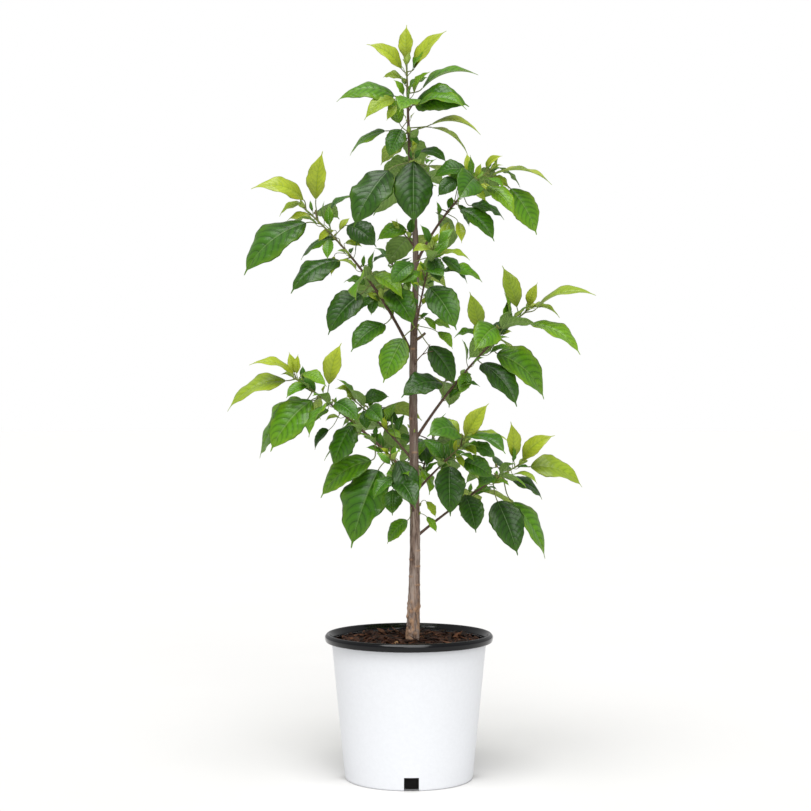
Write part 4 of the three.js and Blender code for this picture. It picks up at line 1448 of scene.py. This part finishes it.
def make_trunk(trunk, finishes):
    """The trunk with streaks, leaf scars and the knots of its foot."""
    count = int(trunk.length / TRUNK_STEP)
    rows = []
    scars = []
    for i in range(count + 1):
        centre = trunk.point(i / count)
        radius = trunk.radius(i / count)
        height = centre[2]
        ageing = mix(GNARL_LEAST, 1, max(0, 1 - (height - TRUNK_FOOT) / GNARL_FADE))
        ring = []
        for angle in ring_angles(TRUNK_SIDES):
            out = vector(math.cos(angle), math.sin(angle), 0)
            off = lumps(out, height, *STREAKS) + lumps(out, height, *GNARLS) * ageing
            scar_tan_and_knot_highlight = 0.0
            for place, face in TRUNK_SCARS:
                aside = abs((angle - face + math.pi) % (2 * math.pi) - math.pi)
                mark = math.exp(-(((height - place) / SCAR_HEIGHT) ** 2))
                mark *= max(0, 1 - (aside / SCAR_REACH) ** 2)
                off += SCAR_SWELL * mark
                scar_tan_and_knot_highlight = max(scar_tan_and_knot_highlight, mark)
            # The knots' mark takes the tan too, partly as a painted highlight on each swelling
            for place, face, size in TRUNK_KNOTS:
                aside = ((angle - face + math.pi) % (2 * math.pi) - math.pi) * radius
                mark = math.exp(-((height - place) ** 2 + aside**2) / KNOT_SPREAD)
                off += size * mark
                scar_tan_and_knot_highlight = max(scar_tan_and_knot_highlight, mark)
            ring.append(centre + out * (radius * TRUNK_GIRTH + off))
            scars.append(scar_tan_and_knot_highlight)
        rows.append(ring)
    made = bark_tube(np.array(rows)).make("trunk_with_bark", [finishes["bark"]], ["trunk"], "bark")
    layer = made.data.color_attributes.new("scar_tan_and_knot_highlight", "FLOAT_COLOR", "POINT")
    layer.data.foreach_set("color", np.repeat(scars, 4))


# Buds that break through the trunk's bark, as (height, face)
TRUNK_BUDS = [(438, -0.6), (452, 0.3), (461, -2.3), (515, -0.2), (575, -1.4), (583, -2.8), (640, 0.1)]
# Each has a larger and a smaller one: how far out it stands, how far up, its lean and its radius
BUD_PAIR = ((0.8, 0, 0.7, 1.7), (2, 2.4, 0.4, 1.2))
# A forked twig and the stub of a cut one, as corners and the radius at both ends
TRUNK_SPURS = [
    ([(10, -9, 686), (14, -14, 694), (24, -17, 704), (35, -18, 719)], 1.2, 0.6),
    ([(22, -16, 702), (31, -19, 706), (40, -20, 708)], 0.8, 0.5),
    ([(12, -7, 727), (19, -10, 731), (27, -12, 738)], 2.6, 2.2),
]
SPUR_STEPS = 12


def make_trunk_spurs(trunk, finishes):
    """Small green buds that break through the trunk's bark, and its little side shoots."""
    piece = Piece()
    for height, face in TRUNK_BUDS:
        t = (height - TRUNK_FOOT) / trunk.length
        out = vector(math.cos(face), math.sin(face), 0)
        for off, up, lean, radius in BUD_PAIR:
            place = trunk.point(t) + out * (trunk.radius(t) + off) + UP * up
            add_bud(piece, place, blend((out, lean), (UP, 1)), radius, 0)
    for corners, first, last in TRUNK_SPURS:
        path = smooth_path(np.array(corners, dtype=float), SPUR_STEPS)
        piece.add(*swept(path, np.linspace(first, last, SPUR_STEPS), TWIG_SIDES), slot=1)
    piece.make("trunk_spurs", [finishes["bud"], finishes["twig"]], [], "twig_bark")


def smooth_path(corners, steps):
    """Points evenly along a rounded path from the first corner to the last."""
    while len(corners) < steps:
        halves = (corners[:-1] + corners[1:]) / 2
        quarters = np.stack([(corners[:-1] + halves) / 2, (halves + corners[1:]) / 2], axis=1)
        inner = quarters.reshape(-1, 3)[1:-1]
        corners = np.concatenate([corners[:1], inner, corners[-1:]])
    shares = np.linspace(0, len(corners) - 1, steps)
    return np.stack([np.interp(shares, range(len(corners)), corners[:, k]) for k in range(3)], axis=1)


# The pot's pieces

SHARP_ANGLE = 40
ROUND_STEPS = 5
ROUND_MOST = 0.49  # of the way to the next corner
WALL_RINGS = (60, 120, 180)
POT_FOOT_ROUND = 4
POT_LIP_ROUND = 0.5
POT_FLOOR_ROUND = 2
RIM_SKIRT = 2.4  # how far the rim's outer edge hangs below the top of the wall


def lathe(profile, sides=POT_SIDES):
    """Rings of points: each (radius, height) of a profile turned round +Z."""
    angles = ring_angles(sides)
    ring = np.stack([np.cos(angles), np.sin(angles)], axis=1)
    return np.array([np.column_stack([ring * radius, np.full(sides, height)]) for radius, height in profile])


def round_body(rows, start, end, change):
    """A piece of rings of points that a fan closes at both ends, round a point at the start's height
    and one at the end's. Its second material starts at the ring whose number is change."""
    count, sides = rows.shape[:2]
    faces = ring_faces(count, sides)
    slots = [0] * (change * sides) + [1] * (len(faces) - change * sides)
    first = count * sides
    for j in range(sides):
        k = (j + 1) % sides
        faces += [(first, k, j), (first + 1, first - sides + j, first - sides + k)]
        slots += [0, 1]
    piece = Piece()
    piece.add(np.concatenate([rows.reshape(-1, 3), [(0, 0, start), (0, 0, end)]]), faces, slots)
    return piece


def rounded(corners, closed=False):
    """A profile through (radius, height, rounding) corners."""
    count = len(corners)
    path = []
    for k, (r, z, size) in enumerate(corners):
        here = np.array((r, z), dtype=float)
        if size == 0 or (not closed and k in (0, count - 1)):
            path.append((r, z))
            continue
        before = np.array(corners[k - 1][:2], dtype=float)
        after = np.array(corners[(k + 1) % count][:2], dtype=float)
        start = here + unit(before - here) * min(size, np.linalg.norm(before - here) * ROUND_MOST)
        end = here + unit(after - here) * min(size, np.linalg.norm(after - here) * ROUND_MOST)
        for s in np.linspace(0, 1, ROUND_STEPS):
            path.append(tuple((1 - s) ** 2 * start + 2 * s * (1 - s) * here + s**2 * end))
    return path


def wall_radius(height):
    """The outside of the wall at a height."""
    return mix(POT_FOOT_RADIUS, POT_WALL_TOP_RADIUS, height / POT_WALL_TOP)


def cut_notches(pot):
    """Cuts the drain notches up from the foot of the wall."""
    cutter = bpy.data.meshes.new("notch")
    depths = (POT_FOOT_RADIUS - NOTCH_DEPTH, POT_FOOT_RADIUS + NOTCH_DEPTH)
    sides = (-NOTCH_WIDTH / 2, NOTCH_WIDTH / 2)
    heights = (-NOTCH_HEIGHT, NOTCH_HEIGHT)
    block = [(x * MM, y * MM, z * MM) for x in depths for y in sides for z in heights]
    faces = [(0, 1, 3, 2), (4, 6, 7, 5), (0, 4, 5, 1), (2, 3, 7, 6), (0, 2, 6, 4), (1, 5, 7, 3)]
    cutter.from_pydata(block, [], faces)
    for k in range(NOTCH_COUNT):
        tool = placed("notch", cutter)
        tool.rotation_euler[2] = math.radians(NOTCH_TURN + 360 * k / NOTCH_COUNT)
        cut = pot.modifiers.new("notch", "BOOLEAN")
        cut.object = tool
        cut.solver = "EXACT"
        bpy.context.view_layer.update()
        depsgraph = bpy.context.evaluated_depsgraph_get()
        mesh = bpy.data.meshes.new_from_object(pot.evaluated_get(depsgraph))
        pot.modifiers.clear()
        pot.data = mesh
        bpy.data.objects.remove(tool)


def make_pot(finishes):
    """The white wall outside, the black skin inside, and the drain notches."""
    lip = POT_WALL_TOP_RADIUS - POT_WALL / 2
    outer = rounded([
        (0, 0, 0),
        (POT_FOOT_RADIUS, 0, POT_FOOT_ROUND),
        *[(wall_radius(height), height, 0) for height in WALL_RINGS],
        (POT_WALL_TOP_RADIUS, POT_WALL_TOP, POT_LIP_ROUND),
        (lip, POT_WALL_TOP, 0),
    ])
    inner = rounded([
        (lip, POT_WALL_TOP, 0),
        (POT_WALL_TOP_RADIUS - POT_WALL, POT_WALL_TOP, POT_LIP_ROUND),
        (wall_radius(POT_FLOOR) - POT_WALL, POT_FLOOR, POT_FLOOR_ROUND),
        (0, POT_FLOOR, 0),
    ])
    piece = round_body(lathe(outer[1:] + inner[1:-1]), 0, POT_FLOOR, len(outer) - 2)
    pot = piece.make("pot_wall", [finishes["white"], finishes["black"]], ["pot"], "pot_white")
    cut_notches(pot)
    pot.data.set_sharp_from_angle(angle=math.radians(SHARP_ANGLE))


def make_rim(finishes):
    """The rolled black rim, and the black inner band below it."""
    inner = POT_WALL_TOP_RADIUS - POT_WALL
    corners = [
        (inner, RIM_UNDERSIDE, 0.6),
        (POT_WALL_TOP_RADIUS + 2, RIM_UNDERSIDE, 0.6),
        (RIM_RADIUS - 4.5, RIM_UNDERSIDE - RIM_SKIRT, 1),
        (RIM_RADIUS - 1.6, RIM_UNDERSIDE - RIM_SKIRT, 2),
        (RIM_RADIUS - 0.2, RIM_UNDERSIDE + 3.5, 2.5),
        (RIM_RADIUS, RIM_TOP - 4.5, 2),
        (RIM_RADIUS - RIM_ROUND, RIM_TOP, RIM_ROUND),
        (RIM_MOUTH_RADIUS + 1, RIM_TOP - 0.5, 2),
        (RIM_MOUTH_RADIUS - 1.5, RIM_TOP - 4, 2),
        (inner + 0.8, RIM_UNDERSIDE + 3, 1),
    ]
    rows = lathe(rounded(corners, closed=True))
    count, sides = rows.shape[:2]
    faces = [tuple(corner % (count * sides) for corner in face) for face in ring_faces(count + 1, sides)]
    piece = Piece()
    piece.add(rows.reshape(-1, 3), faces)
    piece.make("rolled_rim", [finishes["black"]], ["pot_rim"], "rim_black")


SOIL_SIDES = 96
SOIL_RINGS = 30
SOIL_LUMPS = ((0.05, 2, 0), (0.16, 1, 5))  # how close together they stand, their height, and a shift


def soil_height(x, y):
    """The soil's uneven surface, which falls a little towards the wall."""
    edge = wall_radius(SOIL_TOP) - POT_WALL
    drop = SOIL_EDGE_DROP * max(0, (math.hypot(x, y) - edge + SOIL_SHOULDER) / SOIL_SHOULDER)
    rises = [noise.noise(Vector((x * close, y * close, shift))) * size for close, size, shift in SOIL_LUMPS]
    return SOIL_TOP - drop + sum(rises)


def make_soil(finishes):
    """The filling of the pot, with its lumpy top, and its sides painted near-black as the shade that the
    drain notches show.
    """
    foot = wall_radius(SOIL_FLOOR) - POT_WALL - WALL_CLEARANCE
    top = wall_radius(SOIL_TOP - SOIL_EDGE_DROP) - POT_WALL - WALL_CLEARANCE
    profile = [(foot, SOIL_FLOOR), (top, SOIL_TOP - SOIL_EDGE_DROP - 1)]
    profile += [(top * (1 - k / SOIL_RINGS), 0) for k in range(SOIL_RINGS)]
    rows = lathe(profile, SOIL_SIDES)
    for ring in rows[2:]:
        for spot in ring:
            spot[2] = soil_height(spot[0], spot[1])
    # The soil's sides and bottom take the painted shade, its top the earth
    piece = round_body(rows, SOIL_FLOOR, soil_height(0, 0), 1)
    piece.make("soil_filling", [finishes["notch_shade"], finishes["earth"]], ["soil"], "bark_mulch")


CHIP_COUNT = 1500
CHIP_SEED = 4000
CHIP_EDGE = 2  # kept free at the wall
CHIP_LENGTH = (11, 40)
CHIP_FEW = 1.6  # over 1 makes the long ones fewer
CHIP_WIDTH = (3.5, 10)
CHIP_THICKNESS = (0.8, 2.2)
CHIP_TILT = (-0.5, 0.5)
CHIP_BEND = (-0.5, 0.9)
CHIP_BEND_SHARE = 0.2  # of its length
CHIP_ROLL = (-0.8, 0.8)
CHIP_TWIST = 0.5
CHIP_LIFT = (-0.5, 7)
CHIP_STEPS = 6
CHIP_ENDS = 0.15  # how wide its ends stay
CHIP_TAPER = 2.5
CHIP_SECTION = ((-1, -0.4), (0, -1), (1, -0.3), (0.8, 0.6), (0, 1), (-0.9, 0.5))
CHIP_SHARES = (0.4, 0.8, 0.996)  # up to which the chips are umber, brown and tan


def make_chips(finishes):
    """Shreds of bark strewn over the soil: bent, twisted strips that taper to both ends."""
    random = seeded(CHIP_SEED)
    reach = wall_radius(SOIL_TOP) - POT_WALL - CHIP_EDGE
    piece = Piece()
    for _ in range(CHIP_COUNT):
        radius = reach * math.sqrt(random())
        angle = 2 * math.pi * random()
        centre = vector(radius * math.cos(angle), radius * math.sin(angle), 0)
        length = mix(*CHIP_LENGTH, random() ** CHIP_FEW)
        width = between(CHIP_WIDTH, random)
        thick = between(CHIP_THICKNESS, random)
        heading = 2 * math.pi * random()
        tilt = between(CHIP_TILT, random)
        bend = between(CHIP_BEND, random)
        roll = between(CHIP_ROLL, random)
        lift = between(CHIP_LIFT, random)
        tone = random()
        along = vector(math.cos(heading), math.sin(heading), 0)
        side = vector(-math.sin(heading), math.cos(heading), 0)
        rows = []
        for s in np.linspace(-1, 1, CHIP_STEPS):
            spot = centre + along * (s * length / 2) + side * (bend * length * CHIP_BEND_SHARE * (1 - s * s))
            spot[2] = soil_height(centre[0], centre[1]) + lift + s * length / 2 * tilt
            taper = max(CHIP_ENDS, 1 - abs(s) ** CHIP_TAPER)
            turn = roll + s * CHIP_TWIST
            wide = (side * math.cos(turn) + UP * math.sin(turn)) * (width / 2 * taper)
            high = (UP * math.cos(turn) - side * math.sin(turn)) * (thick / 2 * taper)
            rows.append([spot + wide * a + high * b for a, b in CHIP_SECTION])
        points, faces = tube(np.array(rows))
        far = np.linalg.norm(points[:, :2], axis=1).max()
        near_trunk = np.linalg.norm(points[:, :2] - trunk_axis(SOIL_TOP)[:2], axis=1).min()
        if far <= reach and near_trunk >= TRUNK_FOOT_RADIUS:
            piece.add(points, faces, sum(tone > share for share in CHIP_SHARES))
    piece.make("bark_chips", [finishes[name] for name in CHIP_TINTS], [], "bark_mulch")


# The studio

FLOOR_RADIUS = 40
FLOOR_SIDES = 64
FLOOR_TINTS = ((0.75, 0.745, 0.735, 1), (0.77, 0.765, 0.755, 1))
CAMERA_REACH = 100
ROOM_LIGHT = 0.5  # of the white room, which looks fully white itself
# Each broad light's heading in degrees from +X, its elevation, its strength, and how many degrees
# across it is
LIGHTS = {
    "overhead_light": (-100, 68, 2.5, 46),
    "front_light": (-80, 30, 0.75, 30),
}


def make_floor():
    """A wide white floor."""
    finish = Finish("floor_white", roughness=0.9, shine=0.1)
    patches = finish.noise(finish.place(), scale=3)
    finish.put("Base Color", finish.layers(FLOOR_TINTS[0], (patches, FLOOR_TINTS[1])))
    mesh = bpy.data.meshes.new("floor")
    corners = [(FLOOR_RADIUS * math.cos(a), FLOOR_RADIUS * math.sin(a), 0) for a in ring_angles(FLOOR_SIDES)]
    mesh.from_pydata(corners, [], [tuple(range(FLOOR_SIDES))])
    mesh.materials.append(finish.material)
    placed("floor", mesh)


def make_sun(name, heading, elevation, strength, softness):
    """A broad soft light."""
    sun = bpy.data.lights.new(name, "SUN")
    sun.energy = strength
    sun.angle = math.radians(softness)
    lamp = placed(name, sun)
    lamp.rotation_euler = (math.radians(90 - elevation), 0, math.radians(heading + 90))


def make_room():
    """White light from all around, which the camera sees as fully white."""
    world = bpy.data.worlds.new("white_room")
    world.use_nodes = True
    tree = world.node_tree
    background = tree.nodes["Background"]
    background.inputs["Color"].default_value = (1, 1, 1, 1)
    seen = tree.nodes.new("ShaderNodeLightPath").outputs["Is Camera Ray"]
    strength = tree.nodes.new("ShaderNodeMapRange")
    strength.inputs["To Min"].default_value = ROOM_LIGHT
    tree.links.new(seen, strength.inputs["Value"])
    tree.links.new(strength.outputs["Result"], background.inputs["Strength"])
    bpy.context.scene.world = world
    bpy.context.scene.view_settings.view_transform = "Standard"


def make_camera():
    camera_data = bpy.data.cameras.new("camera")
    camera_data.sensor_width = SENSOR_WIDTH
    camera_data.lens = CAMERA_FOCAL_PIXELS / IMAGE_SIDE * SENSOR_WIDTH
    camera_data.clip_end = CAMERA_REACH
    camera = placed("camera", camera_data)
    camera.location = [c * MM for c in CAMERA_PLACE]
    camera.rotation_euler = (math.radians(90), 0, 0)
    bpy.context.scene.camera = camera


def make_studio():
    make_room()
    make_floor()
    for name, values in LIGHTS.items():
        make_sun(name, *values)
    make_camera()


def make_plant(finishes):
    plant = grow_plant()
    add_sprouts(plant)
    make_trunk(plant.trunk, finishes)
    make_trunk_spurs(plant.trunk, finishes)
    for number, mass in enumerate(plant.masses):
        make_limb(mass, finishes)
        make_stalks(mass, finishes)
        make_leaves(mass, number, finishes)


def main():
    make_studio()
    finishes = make_finishes()
    for make in (make_pot, make_rim, make_soil, make_chips, make_plant):
        make(finishes)
    bpy.context.view_layer.update()


main()
